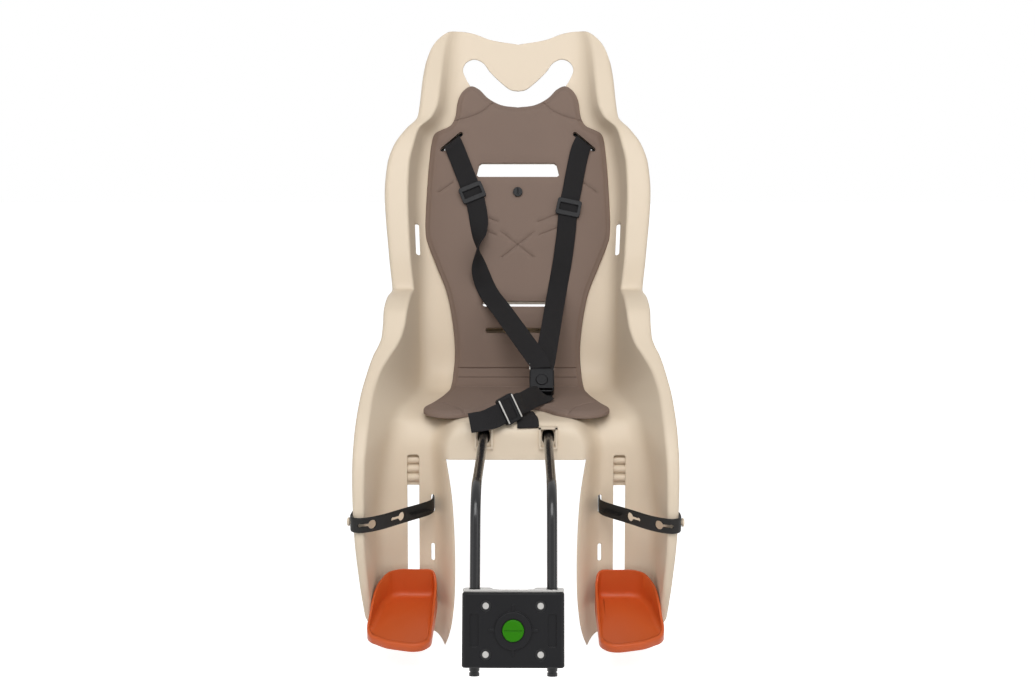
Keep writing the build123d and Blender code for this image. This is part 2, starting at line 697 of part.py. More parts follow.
def heel_side(x, *line):
    # Side profile at one x: the top of the wall falls from the heel to the toe.
    top = Spline((0, rest_heel), *line, (toe, toe_level + 0.6))
    foot = Polyline(top @ 1, (toe, toe_level - rest_skirt), (0, -rest_skirt), top @ 0)
    return Pos(x, 0, 0) * (rest_side * make_face([top, foot]))


inner_heel = heel_side(rest_inner - 5, (14, rest_heel - 13), (40, rest_heel - 27), (75, rest_heel - 43))
outer_heel = heel_side(rest_outer + 5, (22, rest_heel - 6), (45, rest_heel - 14), (78, rest_heel - 38))
rest_body = extrude(rest_plan * rest_outline, 90, both=True)
rest_body = rest_body & loft([inner_heel, outer_heel], ruled=True)
cavity = extrude(rest_plan * offset(rest_outline, -rest_wall), 90, both=True)


def slab(top, low):
    # Layer parallel to the sloping floor, between two heights above it.
    heel = 20 * slope
    end = -(toe + 20) * slope
    front = toe + 20
    edge = Polyline((-20, heel + top), (front, end + top), (front, end + low), (-20, heel + low), close=True)
    return extrude(rest_side * make_face(edge), 200, both=True)


footrest = rest_body - (cavity & slab(90, 0)) - (cavity & slab(-rest_wall, -90))
for r in range(3):
    rib_v = 40 + 24 * r
    rib = Pos(0, -rib_v, -rib_v * slope - rest_wall - 2) * Box(400, 2, 5)
    footrest = footrest + (rib & cavity)

neck_width = leg_slot_width - 2 * neck_fit
clip_rear = wall + rest_gap
neck_high = 18.0
clip_level = 14.0
neck = Box(neck_width, clip_rear + rest_gap, neck_high)
neck = Pos(slot_center, (clip_rear - rest_gap) / 2, clip_level) * neck
clip = Box(clip_width, clip_thick, clip_height)
clip = neck + Pos(slot_center, clip_rear + clip_thick / 2, clip_level) * clip
for name, way in (("left", -1), ("right", 1)):
    one = footrest if way > 0 else mirror(footrest, Plane.YZ)
    write(leg_frame * one, "footrest_" + name)
    one = clip if way > 0 else mirror(clip, Plane.YZ)
    write(leg_frame * one, "footrest_clip_" + name)

# Rubber foot straps from a slot beside the leg gap out to the stud on the rim.
strap_z = seat_rise - strap_drop
stud_wrap = stud_x + 2.8
strap_path = [
    (strap_x, 158, -1),
    (strap_x, 186, 0),
    (strap_x + 5, 195, 0.2),
    (stud_x - 29, stud_forward - 1, 1.6),
    (stud_x - 16, stud_forward + 9.5, 2.2),
    (stud_x - 6, stud_forward + 12.5, 2.6),
    (stud_x + 1, stud_forward + 9, 3),
    (stud_wrap, stud_forward + 3, 3),
    (stud_wrap, stud_forward - 13, 3),
]
up = (0, 0, 1)
strap = ribbon([((x, *at(f, z - strap_drop)), up, strap_width) for x, f, z in strap_path], strap_thick)
for x, f, turn in ((stud_x - 49, stud_forward - 25.3, 39), (stud_x - 21, stud_forward + 5.4, 51)):
    eye = Pos(x, *at(f, 1.5 - strap_drop)) * Rot(Z=turn) * Rot(X=90)
    strap = strap - eye * Cylinder(4, 12) - eye * Pos(5, 0, 0) * Box(7, 3, 12)
strap = strap - Pos(stud_wrap, stud_y, stud_z) * Rot(Y=90) * Cylinder(stud_radius + 0.3, 8)
strap = strap + Pos(strap_x, *at(158, -1 - strap_drop)) * Box(9, 4, strap_width)
write(mirror(strap, Plane.YZ), "foot_strap_left")
write(strap, "foot_strap_right")

# Harness: each shoulder strap comes through its slot, runs down the pad and ends at the buckle.
pad_face = pad_gap + pad_thick
web_h = pad_face + web_lift + web_thick / 2
slot_x = shoulder_slot_x
slot_w = shoulder_slot_w


def on_pad(x, w, h):
    return (x, *on_back(w, h))


def across_back(turn):
    a = radians(turn)
    b = radians(recline)
    return (cos(a), sin(a) * sin(b), sin(a) * cos(b))


def facing(tilt):
    # Direction square to a face tipped forward by tilt.
    return (0, -sin(radians(tilt)), cos(radians(tilt)))


buckle_plane = Plane((buckle_x, *at(buckle_forward, buckle_up)), x_dir=(1, 0, 0), z_dir=facing(buckle_tilt))
half_buckle = buckle_length / 2
tongue_level = -2.0
tongue_top = half_buckle + 10.0


def on_buckle(x, y, z):
    return tuple(buckle_plane.from_local_coords((x, y, z)))


housing = Box(buckle_width, buckle_length, buckle_thick)
housing = fillet(housing.edges().filter_by(Axis.Z), 5)
housing = fillet(housing.faces().sort_by(Axis.Z)[-1].edges(), 2)
button_face = buckle_thick / 2
cap_bore = extrude(Circle(buckle_button_radius + tongue_fit), 20)
housing = housing - Pos(0, 0, button_face - buckle_bore) * cap_bore
mouth = Box(tongue_width + 2 * tongue_fit, half_buckle, tongue_thick + 2 * tongue_fit)
housing = housing - Pos(0, half_buckle * 0.6, tongue_level) * mouth
housing = housing - Pos(0, -half_buckle + 3.5, -1) * Box(web_width + 1, 3, 30)
write(buckle_plane * housing, "buckle_housing")

tongue_run = tongue_top - half_buckle * 0.2
tongue = Pos(0, tongue_top - tongue_run / 2, tongue_level) * Box(tongue_width, tongue_run, tongue_thick)
tongue = tongue + Pos(0, tongue_top - 4, tongue_level) * Box(buckle_width, 8, tongue_thick)
tongue = tongue - Pos(0, tongue_top - 4.2, tongue_level) * Box(buckle_width - 6, 2.6, 10)
write(buckle_plane * tongue, "buckle_tongue")

cap_low = button_face - buckle_bore + buckle_travel + 0.3
buckle_button = Pos(0, 0, cap_low) * extrude(Circle(buckle_button_radius), button_face + 0.8 - cap_low)
buckle_button = fillet(buckle_button.faces().sort_by(Axis.Z)[-1].edges(), 0.8)
write(buckle_plane * buckle_button, "buckle_button")
write(buckle_plane * leaf_spring(button_face - buckle_bore, cap_low, 9, 5, 0.4), "buckle_spring")


def adjuster(gap):
    frame = Box(adjuster_width, adjuster_length, adjuster_thick)
    frame = fillet(frame.edges().filter_by(Axis.Z), 3)
    frame = frame - Box(web_width + 1.6, 60, gap)
    return frame - Pos(0, 0, 4) * Box(web_width - 1, adjuster_length - 12, 8)


web_slot_gap = web_thick + 1.2
adjuster_h = pad_face + 0.4 + adjuster_thick / 2


def shoulder_strap(way, middle, lower, end, fold):
    # Webbing from behind the slot over the pad to the tongue; way is the side, middle the slider position.
    x, w = tall(middle)[0]
    lead = Vector(way * slot_x * 0.93 - x, slot_w - 18 - w).normalized()
    turn = degrees(atan2(-lead.X, lead.Y))
    tip = way * shoulder_slot_turn
    stations = [
        (on_pad(way * slot_x, slot_w, -16), across_back(tip), web_width),
        (on_pad(way * slot_x, slot_w, pad_face - 1), across_back(tip), web_width),
        (on_pad(way * (slot_x - 1.2), slot_w - 1.6, web_h + 0.6), across_back(tip * 0.9), web_width),
        (on_pad(way * (slot_x - 5), slot_w - 10, web_h + 0.4), across_back(tip * 0.7), web_width),
        (on_pad(x + lead.X * 26, w + lead.Y * 26, web_h + 0.6), across_back(turn), web_width),
        (on_pad(x + lead.X * 12, w + lead.Y * 12, adjuster_h), across_back(turn), web_width),
        (on_pad(x - lead.X * 12, w - lead.Y * 12, adjuster_h), across_back(turn), web_width),
    ]
    stations += [(on_pad(x, w * back_fit, h), across_back(fold), web_width) for x, w, h in lower]
    last = Vector(*stations[-1][0])
    for share in (0.3, 0.65):
        stations.append((tuple(last + (Vector(*end) - last) * share), across_back(fold), web_width))
    stations.append((end, (1, 0, 0), web_width))
    write(ribbon(stations, web_thick), "shoulder_strap_" + ("right" if way > 0 else "left"))
    spot = back_plane.offset(adjuster_h) * Pos(*tall(middle)[0]) * Rot(Z=turn)
    write(spot * adjuster(web_slot_gap), "shoulder_adjuster_" + ("right" if way > 0 else "left"))


right_run = [
    (66, 207, web_h + 0.5),
    (60, 168, web_h),
    (52, 128, web_h),
]
left_run = [
    (-50, 220, web_h + 0.5),
    (-45, 185, web_h),
    (-40, 128, web_h),
]
shoulder_strap(1, (67, 237), right_run, on_buckle(4, tongue_top + 1.4, tongue_level - 1.2), -8)
shoulder_strap(-1, (-60, 257), left_run, on_buckle(-5, tongue_top + 1.4, tongue_level + 2.2), 10)

stop = Box(shoulder_slot_length + 4, 15, 3.5) - Box(web_width + 2, web_slot_gap + 0.6, 20)
stop_at = back_plane.offset(-wall - 0.4 - 1.75) * Pos(slot_x, slot_w) * Rot(Z=shoulder_slot_turn)
write(both(stop_at * stop), "strap_stops")

# Crotch strap: up through the pan, through its adjuster and back to the buckle, with a loose tail.
pan_level = seat_rise + web_lift + web_thick / 2
pad_level = seat_rise + pad_face + web_lift + web_thick / 2
side_on = (1, 0, 0)
strap_way = Vector(0.729, 0.612, 0.306)
on_edge = Vector(0.1, 0.4, 0.9)
on_edge = (on_edge - strap_way * on_edge.dot(strap_way)).normalized()
crotch_at = (crotch_x, *at(crotch_forward, crotch_up))
crotch_plane = Plane(crotch_at, x_dir=on_edge, z_dir=strap_way.cross(on_edge))
half_adjuster = adjuster_length / 2 + 3
strap_in = tuple(crotch_plane.from_local_coords((0, -half_adjuster, 0)))
strap_out = tuple(crotch_plane.from_local_coords((0, half_adjuster, 0)))
edge_way = tuple(on_edge)
anchor = [
    ((crotch_slot_x, slot_y, seat_rise - 26), side_on, web_width),
    ((crotch_slot_x, slot_y, seat_rise - 0.5), side_on, web_width),
    ((crotch_slot_x + 1, slot_y - 2.2, pan_level + 0.3), side_on, web_width),
    ((crotch_slot_x + 4, slot_y - 20, pan_level + 0.8), side_on, web_width),
    ((crotch_slot_x + 7, slot_y - 40, pan_level + 0.4), side_on, web_width),
    ((crotch_slot_x + 8, slot_y - 53, pan_level - 6.4), side_on, web_width),
]
strap_y = seat_reach - crotch_forward
strap_run = crotch_forward - buckle_forward
run_up = [
    ((crotch_x - 43, strap_y - 15, seat_rise + crotch_up - 12.5), (-0.1, 0.65, 0.75), web_width),
    ((crotch_x - 30, strap_y - 12.5, seat_rise + crotch_up - 11), (-0.2, 0.6, 0.78), web_width),
    (strap_out, edge_way, web_width),
    (strap_in, edge_way, web_width),
    ((crotch_x + 15, strap_y + 0.3 * strap_run, pad_level + 6), (-0.4, 0.1, 0.9), web_width),
    ((crotch_x + 30, strap_y + 0.56 * strap_run, pad_level + 9.6), (-0.45, 0.1, 0.85), web_width),
    ((crotch_x + 41, strap_y + 0.79 * strap_run, pad_level + 7.5), (-0.8, 0, 0.6), web_width),
    (on_buckle(1.5, -half_buckle - 3.6, -1.6), (-1, 0, 0), web_width),
    (on_buckle(0, -half_buckle - 0.9, -1.2), (-1, 0, 0), web_width),
]
write(ribbon(anchor, web_thick), "crotch_anchor_strap")
write(ribbon(run_up, web_thick), "crotch_strap")
write(crotch_plane * adjuster(web_slot_gap), "crotch_adjuster")
crotch_stop = Box(crotch_slot_length + 6, 15, 3.5) - Box(web_width + 2, web_slot_gap + 0.6, 20)
write(Pos(crotch_slot_x, slot_y, seat_rise - wall - 2.4) * crotch_stop, "crotch_stop")
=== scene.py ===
import json
import math
import bmesh
import bpy
import numpy as np
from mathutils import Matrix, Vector
from mathutils.geometry import delaunay_2d_cdt


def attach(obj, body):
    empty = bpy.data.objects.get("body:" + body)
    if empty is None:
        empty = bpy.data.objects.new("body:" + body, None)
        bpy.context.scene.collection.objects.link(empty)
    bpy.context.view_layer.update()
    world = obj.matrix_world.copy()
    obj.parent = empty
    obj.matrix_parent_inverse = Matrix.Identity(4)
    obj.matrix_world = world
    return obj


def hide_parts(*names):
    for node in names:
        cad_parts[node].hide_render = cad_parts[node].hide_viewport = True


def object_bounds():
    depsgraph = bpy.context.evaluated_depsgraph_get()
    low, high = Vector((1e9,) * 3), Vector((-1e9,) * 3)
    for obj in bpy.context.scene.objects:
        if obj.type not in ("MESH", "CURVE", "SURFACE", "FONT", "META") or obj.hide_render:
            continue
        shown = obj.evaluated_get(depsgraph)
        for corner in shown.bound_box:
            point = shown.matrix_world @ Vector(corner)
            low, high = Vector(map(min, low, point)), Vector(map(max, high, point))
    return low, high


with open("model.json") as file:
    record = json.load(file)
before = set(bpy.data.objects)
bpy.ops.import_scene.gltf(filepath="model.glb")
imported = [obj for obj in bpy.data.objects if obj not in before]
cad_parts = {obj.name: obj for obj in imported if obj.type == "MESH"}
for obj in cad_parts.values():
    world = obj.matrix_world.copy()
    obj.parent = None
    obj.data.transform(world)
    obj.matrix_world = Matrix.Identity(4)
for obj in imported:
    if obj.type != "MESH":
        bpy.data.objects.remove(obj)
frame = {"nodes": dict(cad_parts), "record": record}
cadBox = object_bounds()
nodes = frame["nodes"]
mm = 0.001

# the seat's own layout, in millimetres: the corner between back and pan, and the slopes
seat = dict(
    reach=448.0, rise=140.0, recline=15.0, cornerRadius=45.0, legRake=5.4, legFront=166.0, legTop=32.0
)
leanBack = math.radians(seat["recline"])
rake = math.radians(seat["legRake"])


def onBack(x, w, h=0.0):
    y = seat["reach"] + w * math.sin(leanBack) - h * math.cos(leanBack)
    return (x, y, seat["rise"] + w * math.cos(leanBack) + h * math.sin(leanBack))


def onSide(forward, up):
    return (seat["reach"] - forward, seat["rise"] + up)


def legFace(drop):
    return onSide(seat["legFront"] + (drop - seat["legTop"]) * math.tan(rake), -drop)


def addPiece(name, verts, faces, smooth=True):
    mesh = bpy.data.meshes.new(name)
    mesh.from_pydata(
        [tuple(float(c) * mm for c in v) for v in verts], [], [tuple(int(i) for i in f) for f in faces]
    )
    mesh.polygons.foreach_set("use_smooth", [smooth] * len(mesh.polygons))
    mesh.update()
    obj = bpy.data.objects.new(name, mesh)
    bpy.context.collection.objects.link(obj)
    return obj


def ringFaces(rows, n):
    # rows of n points each, joined round and closed at both ends
    faces = [
        (r * n + i, r * n + (i + 1) % n, (r + 1) * n + (i + 1) % n, (r + 1) * n + i)
        for r in range(rows - 1) for i in range(n)
    ]
    return faces + [tuple(range(n))[::-1], tuple((rows - 1) * n + i for i in range(n))]


def freeze(obj):
    # modifiers into a plain mesh
    bpy.context.view_layer.update()
    graph = bpy.context.evaluated_depsgraph_get()
    mesh = bpy.data.meshes.new_from_object(obj.evaluated_get(graph))
    obj.modifiers.clear()
    obj.data = mesh
    return obj


def tidyNormals(obj):
    bm = bmesh.new()
    bm.from_mesh(obj.data)
    bmesh.ops.remove_doubles(bm, verts=bm.verts, dist=0.02 * mm)
    bmesh.ops.recalc_face_normals(bm, faces=bm.faces)
    bm.to_mesh(obj.data)
    bm.free()
    return obj


def sharpen(obj, degrees=38):
    # smooth shading that breaks at real edges
    bm = bmesh.new()
    bm.from_mesh(obj.data)
    for face in bm.faces:
        face.smooth = True
    for edge in bm.edges:
        edge.smooth = not (len(edge.link_faces) == 2 and edge.calc_face_angle(0) > math.radians(degrees))
    bm.to_mesh(obj.data)
    bm.free()
    return obj


def curveThrough(points, step, closed=False):
    # even samples along a smooth line through the points
    p = np.asarray(points, float)
    p = np.vstack([p[-1], p, p[0], p[1]]) if closed else np.vstack([2 * p[0] - p[1], p, 2 * p[-1] - p[-2]])
    gap = np.sqrt(np.linalg.norm(np.diff(p, axis=0), axis=1))[:, None] + 1e-9
    rise = np.diff(p, axis=0) / gap
    slope = (rise[1:] * gap[:-1] + rise[:-1] * gap[1:]) / (gap[1:] + gap[:-1])
    t = np.linspace(0, 1, 24, endpoint=False)[:, None]
    dense = []
    for i in range(1, len(p) - 2):
        a, b = slope[i - 1] * gap[i], slope[i] * gap[i]
        low = (1 + 2 * t) * (1 - t) ** 2 * p[i] + t * (1 - t) ** 2 * a
        dense.append(low + t * t * (3 - 2 * t) * p[i + 1] + t * t * (t - 1) * b)
    dense = np.vstack(dense + [p[-2:-1]])
    run = np.concatenate([[0], np.cumsum(np.linalg.norm(np.diff(dense, axis=0), axis=1))])
    at = np.linspace(0, run[-1], max(int(round(run[-1] / step)), 2) + 1)
    even = np.column_stack([np.interp(at, run, dense[:, k]) for k in range(dense.shape[1])])
    return even[:-1] if closed else even


def eased(keys, values, at):
    # smooth values between rows, with no overshoot
    keys, values = np.asarray(keys, float), np.asarray(values, float)
    rise = np.diff(values, axis=0) / np.diff(keys)[:, None]
    slope = np.zeros_like(values)
    same = rise[:-1] * rise[1:] > 0
    total = np.where(same, rise[:-1] + rise[1:], 1.0)
    slope[1:-1] = np.where(same, 2 * rise[:-1] * rise[1:] / total, 0)
    slope[0], slope[-1] = rise[0], rise[-1]
    i = np.clip(np.searchsorted(keys, at, side="right") - 1, 0, len(keys) - 2)
    h = np.diff(keys)[i][:, None]
    t = (at - keys[i])[:, None] / h
    low = (1 + 2 * t) * (1 - t) ** 2 * values[i] + t * (1 - t) ** 2 * h * slope[i]
    return low + t * t * (3 - 2 * t) * values[i + 1] + t * t * (t - 1) * h * slope[i + 1]


# shader groups and finishes


def newGroup(name, inputs, outputs):
    tree = bpy.data.node_groups.new(name, "ShaderNodeTree")
    for label, kind, value in inputs:
        socket = tree.interface.new_socket(label, in_out="INPUT", socket_type=kind)
        socket.default_value = value
    for label, kind in outputs:
        tree.interface.new_socket(label, in_out="OUTPUT", socket_type=kind)
    return tree, tree.nodes.new("NodeGroupInput"), tree.nodes.new("NodeGroupOutput")


def wire(tree, a, b):
    tree.links.new(a, b)


def calc(tree, kind, *values):
    node = tree.nodes.new("ShaderNodeMath")
    node.operation = kind
    for i, v in enumerate(values):
        if hasattr(v, "is_output"):
            wire(tree, v, node.inputs[i])
        else:
            node.inputs[i].default_value = v
    return node.outputs[0]


def makeGrain():
    # moulded surface: fine grain height and broad soft patches
    tree, gin, gout = newGroup(
        "mouldedGrain",
        [("Fine", "NodeSocketFloat", 900.0), ("Broad", "NodeSocketFloat", 9.0)],
        [("Height", "NodeSocketFloat"), ("Patch", "NodeSocketFloat")],
    )
    place = tree.nodes.new("ShaderNodeTexCoord")
    fine = tree.nodes.new("ShaderNodeTexNoise")
    broad = tree.nodes.new("ShaderNodeTexNoise")
    fine.inputs["Detail"].default_value = 3.0
    broad.inputs["Detail"].default_value = 4.0
    for noise, scale in ((fine, "Fine"), (broad, "Broad")):
        wire(tree, place.outputs["Object"], noise.inputs["Vector"])
        wire(tree, gin.outputs[scale], noise.inputs["Scale"])
    wire(tree, fine.outputs[0], gout.inputs["Height"])
    wire(tree, broad.outputs[0], gout.inputs["Patch"])
    return tree


def makeWeave():
    # twill ribs on the strap's own map: U across and V along, in strap widths; the second output is random
    # thread tone times rib height, so the colour is darker in the grooves between ribs as painted shade
    tree, gin, gout = newGroup(
        "twillWeave",
        [("Ribs", "NodeSocketFloat", 14.0), ("Slant", "NodeSocketFloat", 0.8)],
        [("Height", "NodeSocketFloat"), ("ThreadToneAndGrooveShade", "NodeSocketFloat")],
    )
    place = tree.nodes.new("ShaderNodeTexCoord")
    split = tree.nodes.new("ShaderNodeSeparateXYZ")
    wire(tree, place.outputs["UV"], split.inputs[0])
    fold = calc(tree, "PINGPONG", calc(tree, "MULTIPLY", split.outputs[0], 4.0), 1.0)
    lean = calc(tree, "MULTIPLY", fold, gin.outputs["Slant"])
    phase = calc(
        tree, "MULTIPLY", calc(tree, "ADD", split.outputs[1], calc(tree, "MULTIPLY", lean, 0.25)),
        gin.outputs["Ribs"]
    )
    rib = calc(tree, "SINE", calc(tree, "MULTIPLY", phase, 2 * math.pi))
    across = calc(tree, "SINE", calc(tree, "MULTIPLY", split.outputs[0], 2 * math.pi * 17))
    mixed = calc(tree, "ADD", calc(tree, "MULTIPLY", rib, 0.36), calc(tree, "MULTIPLY", across, 0.14))
    height = calc(tree, "ADD", mixed, 0.5)
    wire(tree, height, gout.inputs["Height"])
    # random thread tone, scaled by rib height: lower grooves get darker colour, which is painted shade
    noise = tree.nodes.new("ShaderNodeTexNoise")
    noise.inputs["Scale"].default_value = 60.0
    wire(tree, place.outputs["UV"], noise.inputs["Vector"])
    wire(tree, calc(tree, "MULTIPLY", noise.outputs[0], height), gout.inputs["ThreadToneAndGrooveShade"])
    return tree


grainGroup = makeGrain()
weaveGroup = makeWeave()


def makeFinish(
    name, colour, rough, fine=900.0, broad=9.0, bump=0.05, vary=0.05, metal=0.0, coat=0.0, edge=1.2,
    group=None, gloss=0.5
):
    mat = bpy.data.materials.new(name)
    mat.use_nodes = True
    tree = mat.node_tree
    shader = tree.nodes["Principled BSDF"]
    shader.inputs["Metallic"].default_value = metal
    shader.inputs["Coat Weight"].default_value = coat
    shader.inputs["Coat Roughness"].default_value = 0.08
    shader.inputs["Specular IOR Level"].default_value = gloss
    effect = tree.nodes.new("ShaderNodeGroup")
    effect.node_tree = group or grainGroup
    if group is None:
        effect.inputs["Fine"].default_value = fine
        effect.inputs["Broad"].default_value = broad
    # the group's second output sets colour and roughness; for the webbing it carries thread tone and painted
    # shade in the twill grooves
    mask = effect.outputs[1]
    ramp = tree.nodes.new("ShaderNodeMix")
    ramp.data_type = "RGBA"
    ramp.inputs["A"].default_value = (*[c * (1 - vary) for c in colour], 1)
    ramp.inputs["B"].default_value = (*[min(c * (1 + vary), 1) for c in colour], 1)
    wire(tree, mask, ramp.inputs["Factor"])
    wire(tree, ramp.outputs["Result"], shader.inputs["Base Color"])
    spread = tree.nodes.new("ShaderNodeMapRange")
    spread.inputs["To Min"].default_value = max(rough - 0.06, 0.05)
    spread.inputs["To Max"].default_value = rough + 0.06
    wire(tree, mask, spread.inputs["Value"])
    wire(tree, spread.outputs["Result"], shader.inputs["Roughness"])
    relief = tree.nodes.new("ShaderNodeBump")
    relief.inputs["Strength"].default_value = bump
    relief.inputs["Distance"].default_value = 0.0006
    wire(tree, effect.outputs["Height"], relief.inputs["Height"])
    if edge:
        bevel = tree.nodes.new("ShaderNodeBevel")
        bevel.samples = 6
        bevel.inputs["Radius"].default_value = edge * mm
        wire(tree, bevel.outputs[0], relief.inputs["Normal"])
    wire(tree, relief.outputs[0], shader.inputs["Normal"])
    return mat


finishes = dict(
    shell_plastic=makeFinish(
        "shellPlastic", (0.71, 0.60, 0.465), 0.46, fine=700, bump=0.05, vary=0.02, edge=1.2, gloss=0.35
    ),
    pad_foam=makeFinish(
        "padFoam", (0.205, 0.148, 0.120), 0.85, fine=1500, broad=14, bump=0.16, vary=0.06, edge=0, gloss=0.2
    ),
    black_plastic=makeFinish(
        "blackPlastic", (0.005, 0.005, 0.006), 0.42, fine=1100, bump=0.12, vary=0.25, edge=1.0, gloss=0.2
    ),
    black_bar=makeFinish(
        "blackBar", (0.006, 0.006, 0.007), 0.25, fine=500, bump=0.02, vary=0.1, coat=0.3, edge=0, gloss=0.3
    ),
    zinc_steel=makeFinish(
        "zincSteel", (0.47, 0.46, 0.44), 0.36, fine=800, bump=0.05, vary=0.12, metal=1.0, edge=0.4
    ),
    green_plastic=makeFinish(
        "greenPlastic", (0.022, 0.175, 0.001), 0.4, fine=900, bump=0.06, vary=0.05, edge=0.5, gloss=0.12
    ),
    orange_plastic=makeFinish(
        "orangePlastic", (0.57, 0.094, 0.016), 0.42, fine=900, bump=0.06, vary=0.05, edge=0.8, gloss=0.35
    ),
    grey_plastic=makeFinish(
        "greyPlastic", (0.30, 0.30, 0.30), 0.45, fine=900, bump=0.06, vary=0.06, edge=0.5
    ),
    black_rubber=makeFinish(
        "blackRubber", (0.010, 0.009, 0.008), 0.5, fine=1000, bump=0.10, vary=0.25, edge=0.4, gloss=0.25
    ),
    # webbing colour is random thread tone plus painted shade in the twill grooves
    webbing=makeFinish(
        "webbing", (0.017, 0.016, 0.017), 0.8, bump=0.9, vary=0.35, edge=0, group=weaveGroup, gloss=0.2
    ),
)
print("finishes:", len(finishes))


def dress(obj, body, slotName, *replaced):
    obj.data.materials.clear()
    obj.data.materials.append(finishes[slotName])
    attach(obj, body)
    if replaced:
        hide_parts(*replaced)
    return obj


# moulded shell: rows down the back, round the arms and thighs, down the legs

shellSpec = dict(
    wall=2.6,
    edgeRound=7.0,
    lip=6.0,
    rowStep=4.5,
    backRows=[  # height up the back, depth of the side, half widths of floor, rim and outside
        (497, 9, 70, 84, 101), (474, 12, 80, 94, 112), (455, 17, 84, 98, 118), (437, 21, 86, 100, 121.5),
        (405, 28, 89, 102, 126),
        (372, 35, 93, 105, 128.5), (352, 40, 104, 112, 131), (333, 50, 122, 128, 145),
        (310, 56, 126, 134, 159.5),
        (284, 58, 129, 139, 167.5), (250, 60, 131, 140, 170), (165, 60, 126, 136, 163.5),
    ],
    armRows=[  # rim forward and up, half widths, for rows from the foot of the back to the pan
        (25, 133, 127, 131, 159), (62, 130, 127, 131, 160.5), (96, 118, 126, 132, 161.5),
        (110, 103, 125, 133.5, 161),
        (122, 89, 124, 137, 161.5), (132, 79, 123.5, 141.5, 164.5), (142, 70, 123, 148, 169),
        (166, 49, 124, 160, 175),
    ],
    # base and rim forward and up, half widths, middle pushed forward and up, its half width and foot
    legRows=[
        (118, 0, 192, 27, 131, 165, 179, -32, 0, 54, 72),
        (148, -6, 220, 3, 139, 166, 180.5, -42, 6, 64, 84),
        (159, -18, 234, -14, 143, 166.5, 181, -43, 10, 73, 91),
    ],
    # drop below the pan, rim forward, half widths, middle pushed forward and up, its half width and foot
    shinRows=[
        (38, 247, 33, 150, 167, 181, -38, 8, 82, 96),
        (70, 257, 67, 157, 167, 180.5, -37, 3, 79, 94),
        (120, 262, 118, 162, 167, 178.5, -35, 1, 75.5, 92),
        (175, 255, 171, 162, 165, 175, -33, 1, 74, 91),
        (222, 240, 218, 159, 162, 171.5, -32, 1, 75, 90),
        (290, 224, 286, 149, 152, 162, -32, 3, 78, 91),
    ],
    corners=dict(hump=7.0, foot=8.0, floor=22.0, rimIn=4.2),  # rounding along the section
)


def shellRows(spec):
    half = math.radians((90 + seat["recline"]) / 2)
    tangent = seat["cornerRadius"] / math.tan(half)
    centre = onSide(tangent, seat["cornerRadius"])
    rows = []
    for w, d, floor, rim, outer in spec["backRows"]:
        rows.append((*onBack(0, w)[1:], *onBack(0, w, d)[1:], floor, rim, outer, 0, 0, 20, 40))
    bases = [onBack(0, 112)[1:], onBack(0, 66)[1:]]
    for i in range(5):
        a = leanBack + (math.pi / 2 - leanBack) * i / 4
        bases.append(
            (centre[0] + seat["cornerRadius"] * math.cos(a), centre[1] - seat["cornerRadius"] * math.sin(a))
        )
    bases.append(onSide(78, 0))
    for base, (f, u, floor, rim, outer) in zip(bases, spec["armRows"]):
        rows.append((*base, *onSide(f, u), floor, rim, outer, 0, 0, 30, 50))
    for f, u, rf, ru, floor, rim, outer, hy, hz, hh, hf in spec["legRows"]:
        rows.append((*onSide(f, u), *onSide(rf, ru), floor, rim, outer, hy, hz, hh, hf))
    for drop, rf, rd, floor, rim, outer, hy, hz, hh, hf in spec["shinRows"]:
        rows.append((*legFace(drop), *onSide(rf, -rd), floor, rim, outer, hy, hz, hh, hf))
    rows = np.array(rows, float)
    middle = (rows[:, :2] + rows[:, 2:4]) / 2
    keys = np.concatenate([[0], np.cumsum(np.linalg.norm(np.diff(middle, axis=0), axis=1) + 4)])
    at = np.linspace(0, keys[-1], int(keys[-1] / spec["rowStep"]))
    return eased(keys, rows, at)


def shellSection(row, spec):
    base, rim, hump = row[0:2], row[2:4], row[7:9]
    floor, inner, outer = row[4:7]
    height = np.linalg.norm(rim - base)
    way = (rim - base) / height
    r = min((outer - inner) / 2, spec["edgeRound"], height * 0.45)
    corners = np.array([
        (0, 0, 1), (row[9], 0, 1), (row[10], 0, 0), (floor, 0, 0),
        (inner, height, 0), (outer, height, 0), (outer + 0.5, height - r - spec["lip"], 0),
    ])
    soft = spec["corners"]
    reach = [soft["hump"], soft["foot"], soft["floor"], min(soft["rimIn"], r), r]
    cuts = [8, 4, 9, 9, 3, 3]  # straight pieces between rounded corners
    path = [corners[0]]
    start = corners[0]
    for i in range(1, 6):
        before, corner, after = corners[i - 1], corners[i], corners[i + 1]
        d0, d1 = np.linalg.norm(corner - before), np.linalg.norm(after - corner)
        a = corner + (before - corner) * min(reach[i - 1], 0.45 * d0) / d0
        b = corner + (after - corner) * min(reach[i - 1], 0.45 * d1) / d1
        path += [start + (a - start) * k / cuts[i - 1] for k in range(1, cuts[i - 1] + 1)]
        path += [(1 - t) ** 2 * a + 2 * t * (1 - t) * corner + t * t * b for t in (0.2, 0.4, 0.6, 0.8, 1.0)]
        start = b
    path += [start + (corners[6] - start) * k / cuts[5] for k in range(1, cuts[5] + 1)]
    return [(p[0], *(base + p[1] * way + p[2] * hump)) for p in path]


def prism(outline, place, near, far):
    # closed bar with the given outline; place turns outline points and a depth into the seat's frame
    n = len(outline)
    verts = [place(x, y, near) for x, y in outline] + [place(x, y, far) for x, y in outline]
    faces = [tuple(range(n)), tuple(range(2 * n - 1, n - 1, -1))]
    faces += [(i, i + n, (i + 1) % n + n, (i + 1) % n) for i in range(n)]
    return verts, faces


def mirrored(outline):
    return [(-x, y) for x, y in reversed(list(outline))]


